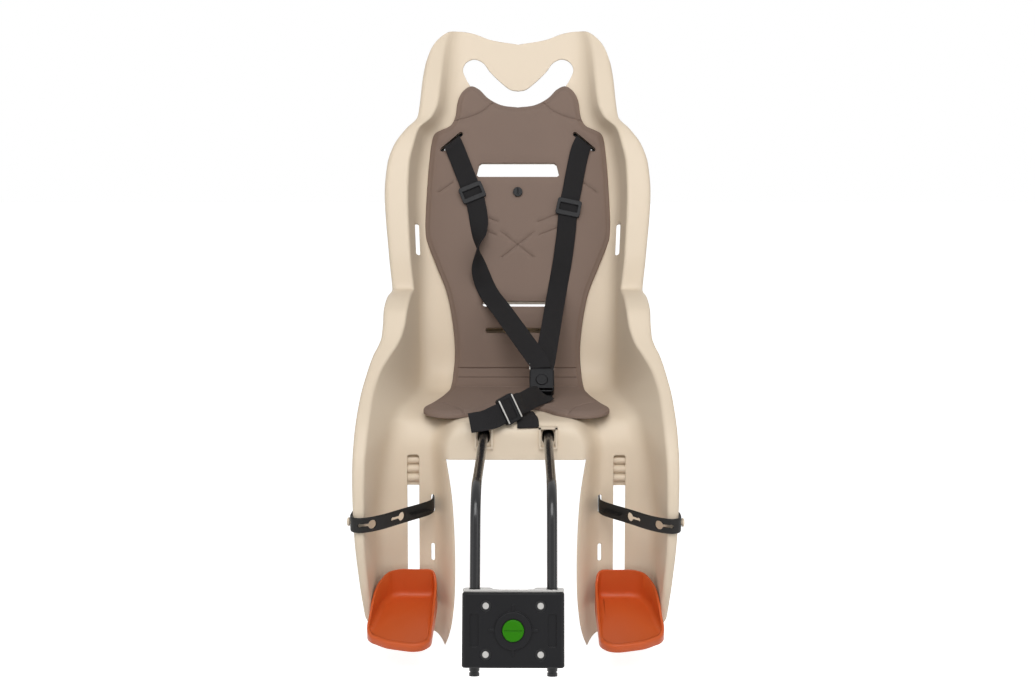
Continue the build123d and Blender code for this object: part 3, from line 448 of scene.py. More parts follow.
def slotOutline(x, y, length, width, turn=0.0, ends=8):
    # rounded slot with its length along the turned x axis
    c, s = math.cos(math.radians(turn)), math.sin(math.radians(turn))
    points = []
    for side in (1, -1):
        for k in range(ends + 1):
            a = math.radians(-90 + 180 * k / ends) + (0 if side > 0 else math.pi)
            points.append((side * (length - width) / 2 + width / 2 * math.cos(a), width / 2 * math.sin(a)))
    return [(x + c * px - s * py, y + s * px + c * py) for px, py in points]


def boxOutline(x, y, width, height, radius, ends=5):
    # rectangle with rounded corners
    points = []
    for k, (sx, sy) in enumerate(((1, -1), (1, 1), (-1, 1), (-1, -1))):
        for i in range(ends + 1):
            a = math.radians(-90 + 90 * (k + i / ends))
            px = x + sx * (width / 2 - radius) + radius * math.cos(a)
            py = y + sy * (height / 2 - radius) + radius * math.sin(a)
            points.append((px, py))
    return points


def throughFront(x, z, y):
    return (x, y, seat["rise"] + z)


cutSpec = dict(
    earLine=[
        (0, 462), (37, 468.5), (60, 477), (76, 479.3), (91, 476.5), (104, 467), (114, 453), (122, 431),
        (128, 409), (140, 400)
    ],
    headHole=[
        (0, 398), (10, 400), (22, 409), (38, 425), (47, 437), (59, 442), (70, 437), (74, 427), (70, 415),
        (60, 398), (50, 376), (0, 362)
    ],
    vent=[
        (-52, 279.5), (52, 279.5), (55, 282), (51.5, 296), (48, 298.5), (-48, 298.5), (-51.5, 296), (-55, 282)
    ],
    padSlots=[(110, 92), (75, 84)],  # height up the back, length
    padSlotWidth=7,
    shoulderSlot=(88, 327, 38, 6, -41),  # x, height, length, width, turn
    sideSlot=(131, 193, 42, 4.5, 87),
    crotchSlot=dict(x=6, forward=150, length=34, width=6),
    legSlot=dict(x=121.0, top=46.0, foot=242.0, width=14.0),
    strapSlots=[(98.0, 103.0), (98.0, 161.0)],
    rodHole=dict(x=36.5, drop=15.0, width=14.0, height=18.0),
    gapLine=[(80, -42), (74, -80), (71, -120), (70, -170), (71.5, -214), (77, -248), (94, -292)],
    footLine=[(190, -170), (176, -208), (160, -234), (138, -249), (96, -256), (80, -268)],
)


def shellCutters(spec):
    cutters = []
    ears = curveThrough(spec["earLine"], 3)
    top = [*ears, (220, 400), (220, 560), (0, 560)]
    cutters.append(prism([*top, *[(-x, y) for x, y in reversed(top[1:-1])]], onBack, 90, -60))
    hole = curveThrough(spec["headHole"][:11], 2)
    hole = [*hole, spec["headHole"][11]]
    cutters.append(prism([*hole, *[(-x, y) for x, y in reversed(hole[1:-1])]], onBack, 60, -60))
    cutters.append(prism(spec["vent"], onBack, 60, -60))
    for w, length in spec["padSlots"]:
        cutters.append(prism(slotOutline(0, w, length, spec["padSlotWidth"]), onBack, 60, -60))
    for outline in (slotOutline(*spec["sideSlot"]), slotOutline(*spec["shoulderSlot"])):
        cutters.append(prism(outline, onBack, 60, -60))
        cutters.append(prism(mirrored(outline), onBack, 60, -60))
    crotch = spec["crotchSlot"]
    outline = slotOutline(crotch["x"], seat["reach"] - crotch["forward"], crotch["length"], crotch["width"])
    cutters.append(prism(outline, lambda x, y, z: (x, y, z), 60, 200))
    leg = spec["legSlot"]
    slot = boxOutline(leg["x"], -(leg["top"] + leg["foot"]) / 2, leg["width"], leg["foot"] - leg["top"], 3.0)
    rod = spec["rodHole"]
    bars = [slot, slotOutline(rod["x"], -rod["drop"], rod["height"], rod["width"], 90)]
    bars += [slotOutline(x, -d, 21, 4.2, 90) for x, d in spec["strapSlots"]]
    for outline in bars:
        cutters.append(prism(outline, throughFront, 330, 150))
        cutters.append(prism(mirrored(outline), throughFront, 330, 150))
    foot = [*curveThrough(spec["footLine"], 4), (40, -330), (230, -330), (230, -170)]
    cutters.append(prism(foot, throughFront, 335, 110))
    cutters.append(prism(mirrored(foot), throughFront, 335, 110))
    gap = [*curveThrough(spec["gapLine"], 4), (0, -300)]
    cutters.append(prism([*gap, *[(-x, y) for x, y in reversed(gap[:-1])]], throughFront, 335, 120))
    return cutters


def buildShell():
    rows = shellRows(shellSpec)
    half = np.array([shellSection(row, shellSpec) for row in rows])
    left = half[:, :0:-1, :] * np.array([-1, 1, 1])
    grid = np.concatenate([left, half], axis=1)
    nRow, nCol = grid.shape[:2]
    faces = [
        (r * nCol + c, r * nCol + c + 1, (r + 1) * nCol + c + 1, (r + 1) * nCol + c)
        for r in range(nRow - 1) for c in range(nCol - 1)
    ]
    shell = addPiece("seatShell", grid.reshape(-1, 3), faces)
    shell.data.flip_normals()
    # the front of the back faces -Y, so the wall grows behind it
    middle = shell.data.polygons[(nRow // 8) * (nCol - 1) + nCol // 2]
    if middle.normal.y > 0:
        shell.data.flip_normals()
    wall = shell.modifiers.new("wall", "SOLIDIFY")
    wall.thickness = shellSpec["wall"] * mm
    wall.offset = -1
    wall.use_even_offset = False
    freeze(shell)
    for number, (verts, faces) in enumerate(shellCutters(cutSpec)):
        cutter = tidyNormals(addPiece(f"cutter{number}", verts, faces, False))
        trim = shell.modifiers.new("trim", "BOOLEAN")
        trim.operation = "DIFFERENCE"
        trim.solver = "EXACT"
        trim.object = cutter
        freeze(shell)
        bpy.data.objects.remove(cutter)
    return sharpen(shell, 42)


shell = buildShell()
dress(shell, "seat", "shell_plastic", "seat_shell")
print("shell:", len(shell.data.polygons), "faces")

# foam pad: one moulded sheet over back, corner and pan, drawn flat as x and run, then wrapped

padSpec = dict(
    gap=0.6,
    cell=5.0,
    # inset from the edge, height of the face
    profile=[(0, 3.6), (0.7, 4.9), (1.8, 5.5), (4.6, 5.7), (5.6, 6.9), (7.2, 7.6)],
    holeProfile=[(0, 5.8), (0.8, 7.0), (2.2, 7.6)],
    grooveHalf=1.5,
    grooveDepth=1.5,
    front=[
        (0, -128), (16, -130), (32, -143), (50, -168), (72, -180), (92, -176), (106, -162), (110, -142),
        (102, -114), (92, -72), (87, -40)
    ],
    side=[
        (83.5, 10), (82, 56), (92, 121), (106, 158), (118, 188), (121.5, 200), (121.3, 240), (113.5, 332),
        (110, 339), (101, 344)
    ],
    ear=[(90, 349.5), (84, 360), (80, 384), (74, 396), (63, 403.5), (52, 399), (40, 387), (22, 377.5)],
    folds=[22.0, 2.5, -29.0],
    grooves=[
        [(27, 219), (55, 230.5)], [(30, 202), (57, 213)], [(86, 271.5), (104, 259)],
        [(-20.5, 172), (20.5, 204.5)],
        [(34, 380), (45, 370), (57, 363.5), (70, 359), (84, 356)],
        [(100, -119), (85, -129), (74, -142), (65, -162), (59, -176)],
    ],
)
tangent = seat["cornerRadius"] / math.tan(math.radians((90 + seat["recline"]) / 2))
cornerCentre = onSide(tangent, seat["cornerRadius"])


def onPad(x, s, h):
    if s >= tangent:
        return onBack(x, s, h)
    if s <= -tangent:
        return (x, seat["reach"] + s, seat["rise"] + h)
    a = leanBack + (math.pi / 2 - leanBack) * (tangent - s) / (2 * tangent)
    r = seat["cornerRadius"] - h
    return (x, cornerCentre[0] + r * math.cos(a), cornerCentre[1] - r * math.sin(a))


def insideOf(points, loop):
    x, y = points[:, :1], points[:, 1:]
    a, b = loop, np.roll(loop, -1, axis=0)
    span = np.where(np.abs(b[:, 1] - a[:, 1]) < 1e-9, 1e-9, b[:, 1] - a[:, 1])
    hits = ((a[:, 1] > y) != (b[:, 1] > y)) & (x < (b[:, 0] - a[:, 0]) * (y - a[:, 1]) / span + a[:, 0])
    return hits.sum(axis=1) % 2 == 1


def distanceTo(points, line, closed=True):
    a = line if closed else line[:-1]
    d = (np.roll(line, -1, axis=0) if closed else line[1:]) - a
    rel = points[:, None, :] - a[None]
    t = np.clip((rel * d).sum(axis=2) / ((d * d).sum(axis=1) + 1e-12), 0, 1)
    return np.linalg.norm(rel - t[..., None] * d, axis=2).min(axis=1)


def insetRing(loop, d):
    # loop runs counter-clockwise, so its left side is inside
    way = np.roll(loop, -1, axis=0) - np.roll(loop, 1, axis=0)
    way /= np.linalg.norm(way, axis=1)[:, None]
    return loop + d * np.column_stack([-way[:, 1], way[:, 0]])


def fillSheet(outline, holes, lines, cell, rings, holeRings, halfLine):
    # triangles of a flat sheet with points along every edge and groove
    points, edges = [], []

    def addLoop(loop, closed=True):
        start = len(points)
        points.extend(map(tuple, loop))
        n = len(loop)
        edges.extend((start + i, start + (i + 1) % n) for i in range(n if closed else n - 1))

    for d in rings:
        addLoop(insetRing(outline, d) if d else outline)
    for hole in holes:
        for d in holeRings:
            addLoop(insetRing(hole[::-1], -d)[::-1] if d else hole)
    for line in lines:
        way = np.gradient(line, axis=0)
        way /= np.linalg.norm(way, axis=1)[:, None]
        side = np.column_stack([-way[:, 1], way[:, 0]])
        for d in (0, -halfLine, halfLine):
            addLoop(line + side * d, False)
    low, high = outline.min(axis=0), outline.max(axis=0)
    grid = np.array([
        (x + (0.5 * cell if row % 2 else 0), y)
        for row, y in enumerate(np.arange(low[1], high[1], cell * 0.87))
        for x in np.arange(low[0], high[0], cell)
    ])
    keep = insideOf(grid, outline) & (distanceTo(grid, outline) > rings[-1] + 0.6 * cell)
    for hole in holes:
        keep &= ~insideOf(grid, hole) & (distanceTo(grid, hole) > holeRings[-1] + 0.5 * cell)
    for line in lines:
        keep &= distanceTo(grid, line, False) > halfLine + 0.5 * cell
    points.extend(map(tuple, grid[keep]))
    verts, _, faces, _, _, _ = delaunay_2d_cdt([Vector(p) for p in points], edges, [], 0, 1e-4)
    flat = np.array([tuple(v) for v in verts])
    faces = np.array([tuple(f) for f in faces])
    middle = flat[faces].mean(axis=1)
    keep = insideOf(middle, outline)
    for hole in holes:
        keep &= ~insideOf(middle, hole)
    faces = faces[keep]
    a, b, c = flat[faces[:, 0]], flat[faces[:, 1]], flat[faces[:, 2]]
    turn = (b[:, 0] - a[:, 0]) * (c[:, 1] - a[:, 1]) - (b[:, 1] - a[:, 1]) * (c[:, 0] - a[:, 0])
    faces[turn < 0] = faces[turn < 0][:, ::-1]
    return flat, faces


def closeSheet(topVerts, lowVerts, faces):
    # top and underside of the same triangles, joined along every open edge
    n = len(topVerts)
    count = {}
    for f in faces:
        for i in range(3):
            count[(f[i], f[(i + 1) % 3])] = 1
    walls = [(b, a, a + n, b + n) for a, b in count if (b, a) not in count]
    return list(topVerts) + list(lowVerts), [tuple(f) for f in faces] + [
        tuple(i + n for i in f[::-1]) for f in faces
    ] + walls


def mirrorLine(line):
    return np.asarray(line, float) * (-1, 1)


def buildPad(spec):
    right = np.vstack([
        curveThrough(spec["front"], 3.2)[:-1],
        curveThrough([spec["front"][-1], *spec["side"]], 3.2)[:-1],
        curveThrough([spec["side"][-1], *spec["ear"], (0, 374.5)], 3.2),
    ])
    outline = np.vstack([right, mirrorLine(right[-2:0:-1])])
    holes = [np.array(cutSpec["vent"], float)]
    for w, length in cutSpec["padSlots"]:
        holes.append(np.array(slotOutline(0, w, length, cutSpec["padSlotWidth"], ends=5)))
    slit = np.array(slotOutline(*cutSpec["shoulderSlot"], ends=5))
    holes += [slit, mirrorLine(slit)[::-1]]
    lines = []
    for line in spec["grooves"]:
        dense = curveThrough(line, 3) if len(line) > 2 else np.linspace(*np.array(line, float), 12)
        lines += [dense, mirrorLine(dense)]
    inset = [p[0] for p in spec["profile"]]
    lines += [np.column_stack([np.linspace(-76, 76, 52), np.full(52, s)]) for s in spec["folds"]]
    flat, faces = fillSheet(
        outline, holes, lines, spec["cell"], inset, [p[0] for p in spec["holeProfile"]], spec["grooveHalf"]
    )
    height = np.interp(distanceTo(flat, outline), *zip(*spec["profile"]))
    for hole in holes:
        height = np.minimum(height, np.interp(distanceTo(flat, hole), *zip(*spec["holeProfile"])))
    for line in lines:
        near = np.clip(1 - distanceTo(flat, line, False) / spec["grooveHalf"], 0, 1)
        height -= spec["grooveDepth"] * near
    soft = 0.25 * np.sin(flat[:, 0] / 17.0 + 1.3) * np.sin(flat[:, 1] / 23.0)  # slight waviness of foam
    height += soft * np.clip(distanceTo(flat, outline) / 30, 0, 1)
    top = [onPad(x, s, h) for (x, s), h in zip(flat, height)]
    low = [onPad(x, s, spec["gap"]) for x, s in flat]
    return sharpen(tidyNormals(addPiece("foamPad", *closeSheet(top, low, faces))), 50)


pad = dress(buildPad(padSpec), "seat", "pad_foam", "seat_pad")
print("pad:", len(pad.data.polygons), "faces")

# harness webbing: flat bands through stations of centre and direction across

webSpec = dict(width=25.0, thick=1.5, step=3.0, lift=9.3)
bandSection = [
    (-0.5, 0), (-0.488, 0.42), (-0.46, 0.5), (-0.3, 0.5), (-0.1, 0.5), (0.1, 0.5), (0.3, 0.5), (0.46, 0.5),
    (0.488, 0.42), (0.5, 0)
]
bandSection += [(-x, -y) for x, y in bandSection[1:-1]]


def strapBand(name, stations, width, thick, step):
    centres = np.array([s[0] for s in stations], float)
    across = np.array([s[1] for s in stations], float)
    across /= np.linalg.norm(across, axis=1)[:, None]
    both = curveThrough(np.hstack([centres, across * 18]), step)
    path, side = both[:, :3], both[:, 3:]
    along = np.gradient(path, axis=0)
    along /= np.linalg.norm(along, axis=1)[:, None]
    side -= along * (side * along).sum(axis=1)[:, None]
    side /= np.linalg.norm(side, axis=1)[:, None]
    face = np.cross(along, side)
    n = len(bandSection)
    verts = [p + s * x * width + f * y * thick for p, s, f in zip(path, side, face) for x, y in bandSection]
    band = addPiece(name, verts, ringFaces(len(path), n))
    run = np.concatenate([[0], np.cumsum(np.linalg.norm(np.diff(path, axis=0), axis=1))])
    layer = band.data.uv_layers.new(name="strap")
    for loop in band.data.loops:
        row, i = divmod(loop.vertex_index, n)
        layer.data[loop.index].uv = (bandSection[i][0] + 0.5, run[row] / width)
    bm = bmesh.new()
    bm.from_mesh(band.data)
    bmesh.ops.recalc_face_normals(bm, faces=bm.faces)
    bm.to_mesh(band.data)
    bm.free()
    return sharpen(band, 40)


def acrossBack(turn, tip=0.0):
    # direction across the strap: turned on the face of the back, then tipped out of it
    a, t = math.radians(turn), math.radians(tip)
    flat = Vector((math.cos(a), math.sin(a) * math.sin(leanBack), math.sin(a) * math.cos(leanBack)))
    out = Vector((0, -math.cos(leanBack), math.sin(leanBack)))
    return tuple(flat * math.cos(t) + out * math.sin(t))


lift = webSpec["lift"]
buckle = dict(x=30.5, forward=100.0, up=27.5, tilt=math.radians(50))


def onBuckle(x, y, z):
    c, s = math.cos(buckle["tilt"]), math.sin(buckle["tilt"])
    oy, oz = onSide(buckle["forward"], buckle["up"])
    return (buckle["x"] + x, oy + y * c - z * s, oz + y * s + z * c)


def between(a, b, share):
    return tuple(p + (q - p) * share for p, q in zip(a, b))


tongueRight, tongueLeft = onBuckle(4, 29, -2.4), onBuckle(-4, 29, 0.4)
liftRight, liftLeft = onBack(52, 128, lift + 0.4), onBack(-40, 128, lift + 0.6)
rightRun = [
    (onBack(88, 327, -14), acrossBack(-41)), (onBack(88, 327, 4), acrossBack(-41)),
    (onBack(87, 324.6, lift + 1.2), acrossBack(-38)),
    (onBack(83, 316, lift + 0.8), acrossBack(-30)), (onBack(77, 290, lift + 0.6), acrossBack(-10)),
    (onBack(71, 258, lift + 1.2), acrossBack(-6)),
    (onBack(69, 249, 11), acrossBack(-7)), (onBack(65.5, 225, 11), acrossBack(-6)),
    (onBack(64, 207, lift + 0.6), acrossBack(-7)),
    (onBack(59, 168, lift + 0.2), acrossBack(-8)), (liftRight, acrossBack(-8)),
    (between(liftRight, tongueRight, 0.33), acrossBack(-8)),
    (between(liftRight, tongueRight, 0.68), acrossBack(-6)), (tongueRight, (1, 0, -0.05)),
    (onBuckle(3, 24, 0.1), (1, 0, 0)), (onBuckle(2, 18.6, 0.1), (1, 0, 0)),
]
leftRun = [
    (onBack(-88, 327, -14), acrossBack(41)), (onBack(-88, 327, 4), acrossBack(41)),
    (onBack(-87, 324.6, lift + 1.2), acrossBack(38)),
    (onBack(-83, 316, lift + 0.8), acrossBack(30)), (onBack(-72, 288, lift + 0.6), acrossBack(20)),
    (onBack(-64, 268, 11), acrossBack(17)),
    (onBack(-56, 246, 11), acrossBack(15)), (onBack(-51.5, 222, lift + 1.4), acrossBack(10, 8)),
    (onBack(-50, 200, 15), acrossBack(8, 40)),
    (onBack(-51, 176, 19), acrossBack(4, 100)), (onBack(-49, 152, 15), acrossBack(6, 150)),
    (liftLeft, acrossBack(14, 178)),
    (between(liftLeft, tongueLeft, 0.33), acrossBack(26, 180)),
    (between(liftLeft, tongueLeft, 0.68), acrossBack(30, 180)),
    (tongueLeft, (-1, 0, -0.3)), (onBuckle(-2, 24, 1.9), (-1, 0, -0.1)),
    (onBuckle(-1.5, 18.8, 1.9), (-1, 0, 0)),
]
crotchRun = [
    (onBuckle(0, -17.4, -1.2), (-1, 0, 0)), (onBuckle(1.5, -20.1, -1.6), (-1, 0, 0)),
    ((33, 327.4, 156.8), (-0.8, 0, 0.6)), ((22, 304.9, 158.9), (-0.45, 0.1, 0.85)),
    ((9, 279.4, 157.3), (-0.4, 0.1, 0.9)), ((2.2, 258.6, 159.8), (-0.419, 0.047, 0.907)),
    ((-18.2, 241.4, 151.2), (-0.419, 0.047, 0.907)),
    ((-34, 237.5, 145.5), (-0.3, 0.55, 0.8)), ((-52, 234.8, 142.8), (-0.2, 0.62, 0.77)),
]
anchorRun = [
    ((6, 298, 114), (1, 0, 0)), ((6, 298, 139.5), (1, 0, 0)), ((7, 295.6, 142.2), (1, 0, 0)),
    ((10, 278, 142.6), (1, 0, 0)), ((13, 258, 142.1), (1, 0, 0)), ((14, 245, 135.3), (1, 0, 0)),
]
for name, run, node in (
    ("strapRight", rightRun, "shoulder_strap_right"), ("strapLeft", leftRun, "shoulder_strap_left"),
    ("strapCrotch", crotchRun, "crotch_strap"), ("strapAnchor", anchorRun, "crotch_anchor_strap"),
):
    band = strapBand(name, run, webSpec["width"], webSpec["thick"], webSpec["step"])
    dress(band, "seat", "webbing", node)
print("webbing done")

# bright bars of the crotch adjuster


def rodBetween(name, a, b, radius, turns=20):
    a, b = Vector(a), Vector(b)
    way = (b - a).normalized()
    side = way.orthogonal().normalized()
    up = way.cross(side)
    rings = [(a, radius - 0.3), (a + way * 0.3, radius), (b - way * 0.3, radius), (b, radius - 0.3)]
    verts = []
    for centre, r in rings:
        for k in range(turns):
            angle = 2 * math.pi * k / turns
            verts.append(tuple(centre + (side * math.cos(angle) + up * math.sin(angle)) * r))
    return sharpen(tidyNormals(addPiece(name, verts, ringFaces(len(rings), turns))), 40)


barSpec = dict(
    centre=Vector((-8, 250, 155.5)),
    along=Vector((0.729, 0.612, 0.306)),
    across=Vector((-0.419, 0.047, 0.907)),
    out=Vector((0.541, -0.789, 0.291)),
    apart=9.4,
    half=14.5,
    lift=3.4,
    radius=1.0,
)
for name, way in (("barTail", -1), ("barLoop", 1)):
    spot = barSpec["centre"] + barSpec["along"] * (way * barSpec["apart"]) + barSpec["out"] * barSpec["lift"]
    reach = barSpec["across"] * barSpec["half"]
    dress(rodBetween(name, spot - reach, spot + reach, barSpec["radius"]), "seat", "zinc_steel")

# small shell pieces: height racks behind the leg slots, strap studs and the saddle that holds the bar


def latheX(profile, turns=32):
    # solid of revolution about the x axis from (x, radius) points
    verts = [
        (x, r * math.cos(2 * math.pi * k / turns), r * math.sin(2 * math.pi * k / turns)) for x, r in profile
        for k in range(turns)
    ]
    return verts, ringFaces(len(profile), turns)


rackSpec = dict(
    half=9.0, depth=7.2, back=2.4, top=43.5, foot=83.0, rows=90, ridges=(53.0, 63.5, 74.0), ridgeHalf=4.6,
    ridgeRise=4.4
)
studSpec = dict(
    forward=253, drop=100, profile=[(170, 3.2), (184, 3.2), (184, 4.8), (185.6, 4.8), (186.4, 4.0)]
)


def rackStrip(way, spec):
    # scalloped strip: rounded ridges across the recess
    half, depth, back = spec["half"], spec["depth"], spec["depth"] + spec["back"]
    drops = np.linspace(spec["top"], spec["foot"], spec["rows"])
    verts = []
    for drop in drops:
        y, z = legFace(drop)
        ridge = max(math.sqrt(max(1 - ((drop - c) / spec["ridgeHalf"]) ** 2, 0)) for c in spec["ridges"])
        front = depth - spec["ridgeRise"] * ridge
        for x, d in ((-half, front), (half, front), (half, back), (-half, back)):
            verts.append(
                (way * (cutSpec["legSlot"]["x"] + x), y + d * math.cos(rake), z - d * math.sin(rake))
            )
    return verts, ringFaces(len(drops), 4)


for side, way in (("Left", -1), ("Right", 1)):
    rack = sharpen(tidyNormals(addPiece("rack" + side, *rackStrip(way, rackSpec))), 50)
    dress(rack, "seat", "shell_plastic")
    y, z = onSide(studSpec["forward"], -studSpec["drop"])
    verts, faces = latheX(studSpec["profile"])
    stud = addPiece("stud" + side, [(way * vx, y + vy, z + vz) for vx, vy, vz in verts], faces)
    dress(sharpen(tidyNormals(stud), 40), "seat", "shell_plastic")


def block(centre, size, place=None):
    # plain box; place turns its own coordinates into the seat's frame
    corners = [(x, y, z) for x in (-0.5, 0.5) for y in (-0.5, 0.5) for z in (-0.5, 0.5)]
    verts = [tuple(c + k * s for c, k, s in zip(centre, corner, size)) for corner in corners]
    if place:
        verts = [place(*v) for v in verts]
    return verts, [(0, 1, 3, 2), (4, 6, 7, 5), (0, 4, 5, 1), (2, 3, 7, 6), (0, 2, 6, 4), (1, 5, 7, 3)]


def joined(name, parts):
    verts, faces = [], []
    for v, f in parts:
        faces += [tuple(i + len(verts) for i in face) for face in f]
        verts += v
    return tidyNormals(addPiece(name, verts, faces, False))


saddleSpec = dict(
    centre=(0, 366, 132.9),
    size=(104, 64, 12.6),
    tunnel=dict(y=288, z=125, length=96),
    # x, z, width, height
    tunnelWalls=[(9.4, 0, 2.4, 23), (-9.4, 0, 2.4, 23), (0, 10.4, 21.2, 2.4), (0, -12.6, 21.2, 2.4)],
)
saddleParts = [block(saddleSpec["centre"], saddleSpec["size"])]
tunnel = saddleSpec["tunnel"]
for side in (-1, 1):  # tunnels that guide the bar from the front lip to the saddle
    for dx, dz, sx, sz in saddleSpec["tunnelWalls"]:
        centre = (side * cutSpec["rodHole"]["x"] + dx, tunnel["y"], tunnel["z"] + dz)
        saddleParts.append(block(centre, (sx, tunnel["length"], sz)))
dress(joined("saddle", saddleParts), "seat", "shell_plastic")
slotBoxSpec = dict(
    wall=2.6, half=5, height=12, middle=-16, depth=26, spare=6, endGap=2,
    lid=dict(w=75, h=-28, width=88, thick=2.4)
)
slotParts = []
for w, length in cutSpec["padSlots"]:  # boxed strap slots behind the back
    b = slotBoxSpec
    for way in (-1, 1):
        slotParts.append(
            block((0, w + way * b["half"], b["middle"]), (length + b["spare"], b["wall"], b["depth"]), onBack)
        )
    for way in (-1, 1):
        slotParts.append(
            block(
                (way * (length / 2 + b["endGap"]), w, b["middle"]), (b["wall"], b["height"], b["depth"]),
                onBack
            )
        )
lid = slotBoxSpec["lid"]
slotParts.append(block((0, lid["w"], lid["h"]), (lid["width"], slotBoxSpec["height"], lid["thick"]), onBack))
dress(joined("slotBoxes", slotParts), "seat", "shell_plastic")
print("shell fittings done")

# rubber foot straps: a flat strip with keyholes, wrapped along its path

footStrapSpec = dict(
    width=17.0,
    thick=2.2,
    drop=103,
    path=[
        (98, 288), (98, 264), (102.5, 253.5), (126, 225), (150, 196), (163, 185.8), (173, 182.6),
        (179.6, 185.5), (181.9, 192), (181.9, 208)
    ],
    slope=[(0, -1), (40, 0.2), (110, 1.8), (160, 3)],
    eyes=[78.0, 121.0],  # run to each eye
    eye=dict(radius=5.2, neck=1.7, tip=2.3, length=14.5),
    studHole=dict(fromEnd=16, radius=3.5),
    ribsFrom=38,
    ribsTo=64,
    ribs=dict(Count=13, Width=0.9 * mm, Height=13.0 * mm, Length=1.2 * mm),
)


def keyhole(u, eye, ends=18):
    # round eye, narrow neck and a small round end towards the stud
    lean = math.asin(eye["neck"] / eye["radius"])
    turn = math.asin(eye["neck"] / eye["tip"])
    points = [
        (u + eye["radius"] * math.cos(a), eye["radius"] * math.sin(a))
        for a in np.linspace(lean, 2 * math.pi - lean, ends)
    ]
    end = u + eye["length"]
    points += [
        (end + eye["tip"] * math.cos(a), eye["tip"] * math.sin(a))
        for a in np.linspace(turn - math.pi, math.pi - turn, 10)
    ]
    return np.array(points)


def buildFootStrap(name, way, spec):
    path = curveThrough(spec["path"], 1.0)
    run = np.concatenate([[0], np.cumsum(np.linalg.norm(np.diff(path, axis=0), axis=1))])
    way2d = np.gradient(path, axis=0)
    way2d /= np.linalg.norm(way2d, axis=1)[:, None]
    half, length = spec["width"] / 2, run[-1]
    outline = np.array(boxOutline(length / 2, 0, length, 2 * half, 1.5, 3))
    dense = []
    for a, b in zip(outline, np.roll(outline, -1, axis=0)):
        n = max(int(np.linalg.norm(b - a) / 2.5), 1)
        dense += [a + (b - a) * k / n for k in range(n)]
    outline = np.array(dense)
    holes = [keyhole(u, spec["eye"]) for u in spec["eyes"]]
    hole, turns = spec["studHole"], np.linspace(0, 2 * math.pi, 16, endpoint=False)
    middle, r = length - hole["fromEnd"], hole["radius"]
    holes.append(np.array([(middle + r * math.cos(a), r * math.sin(a)) for a in turns]))
    flat, faces = fillSheet(outline, holes, [], 2.5, [0, 0.6, 1.2], [0, 0.6], 1.0)
    edge = np.interp(distanceTo(flat, outline), [0, 0.6, 1.2], [0.35, 0.85, 1.0])
    layers = []
    for side in (1, -1):
        layer = []
        for (u, v), e in zip(flat, edge):
            x, y = (np.interp(u, run, path[:, k]) for k in (0, 1))
            tx, ty = (np.interp(u, run, way2d[:, k]) for k in (0, 1))
            lift = side * e * spec["thick"] / 2
            z = seat["rise"] - spec["drop"] + v + np.interp(u, *zip(*spec["slope"]))
            layer.append((way * (x + ty * lift), y - tx * lift, z))
        layers.append(layer)
    verts, walls = closeSheet(layers[0], layers[1], faces)
    return sharpen(tidyNormals(addPiece(name, verts, walls)), 45), path, run


def ribTree():
    # short ribs standing along a curve
    tree = bpy.data.node_groups.new("strapRibs", "GeometryNodeTree")
    tree.is_modifier = True
    tree.interface.new_socket("Geometry", in_out="INPUT", socket_type="NodeSocketGeometry")
    for label, kind, value in (
        ("Count", "NodeSocketInt", 9), ("Width", "NodeSocketFloat", 0.001),
        ("Height", "NodeSocketFloat", 0.001), ("Length", "NodeSocketFloat", 0.01)
    ):
        socket = tree.interface.new_socket(label, in_out="INPUT", socket_type=kind)
        socket.default_value = value
    tree.interface.new_socket("Material", in_out="INPUT", socket_type="NodeSocketMaterial")
    tree.interface.new_socket("Geometry", in_out="OUTPUT", socket_type="NodeSocketGeometry")
    make = tree.nodes.new
    gin, gout = make("NodeGroupInput"), make("NodeGroupOutput")
    points, cube, size = make(
        "GeometryNodeCurveToPoints"
    ), make("GeometryNodeMeshCube"), make("ShaderNodeCombineXYZ")
    place, solid, paint = make(
        "GeometryNodeInstanceOnPoints"
    ), make("GeometryNodeRealizeInstances"), make("GeometryNodeSetMaterial")
    points.mode = "COUNT"
    link = tree.links.new
    link(gin.outputs["Geometry"], points.inputs["Curve"])
    link(gin.outputs["Count"], points.inputs["Count"])
    link(gin.outputs["Height"], size.inputs[0])
    link(gin.outputs["Length"], size.inputs[1])
    link(gin.outputs["Width"], size.inputs[2])
    link(size.outputs[0], cube.inputs["Size"])
    link(points.outputs["Points"], place.inputs["Points"])
    link(points.outputs["Rotation"], place.inputs["Rotation"])
    link(cube.outputs["Mesh"], place.inputs["Instance"])
    link(place.outputs["Instances"], solid.inputs["Geometry"])
    link(solid.outputs["Geometry"], paint.inputs["Geometry"])
    link(gin.outputs["Material"], paint.inputs["Material"])
    link(paint.outputs["Geometry"], gout.inputs["Geometry"])
    return tree


ribs = ribTree()


def ribRow(name, points, values, finish):
    curve = bpy.data.curves.new(name, "CURVE")
    curve.dimensions = "3D"
    spline = curve.splines.new("POLY")
    spline.points.add(len(points) - 1)
    for point, place in zip(spline.points, points):
        point.co = (*[c * mm for c in place], 1)
    holder = bpy.data.objects.new(name + "Path", curve)
    bpy.context.collection.objects.link(holder)
    row = holder.modifiers.new("ribs", "NODES")
    row.node_group = ribs
    for item in ribs.interface.items_tree:
        if item.in_out == "INPUT" and item.name in values:
            row[item.identifier] = values[item.name]
        if item.in_out == "INPUT" and item.name == "Material":
            row[item.identifier] = finish
    bpy.context.view_layer.update()
    graph = bpy.context.evaluated_depsgraph_get()
    mesh = bpy.data.meshes.new_from_object(holder.evaluated_get(graph))
    obj = bpy.data.objects.new(name, mesh)
    bpy.context.collection.objects.link(obj)
    bpy.data.objects.remove(holder)
    return obj


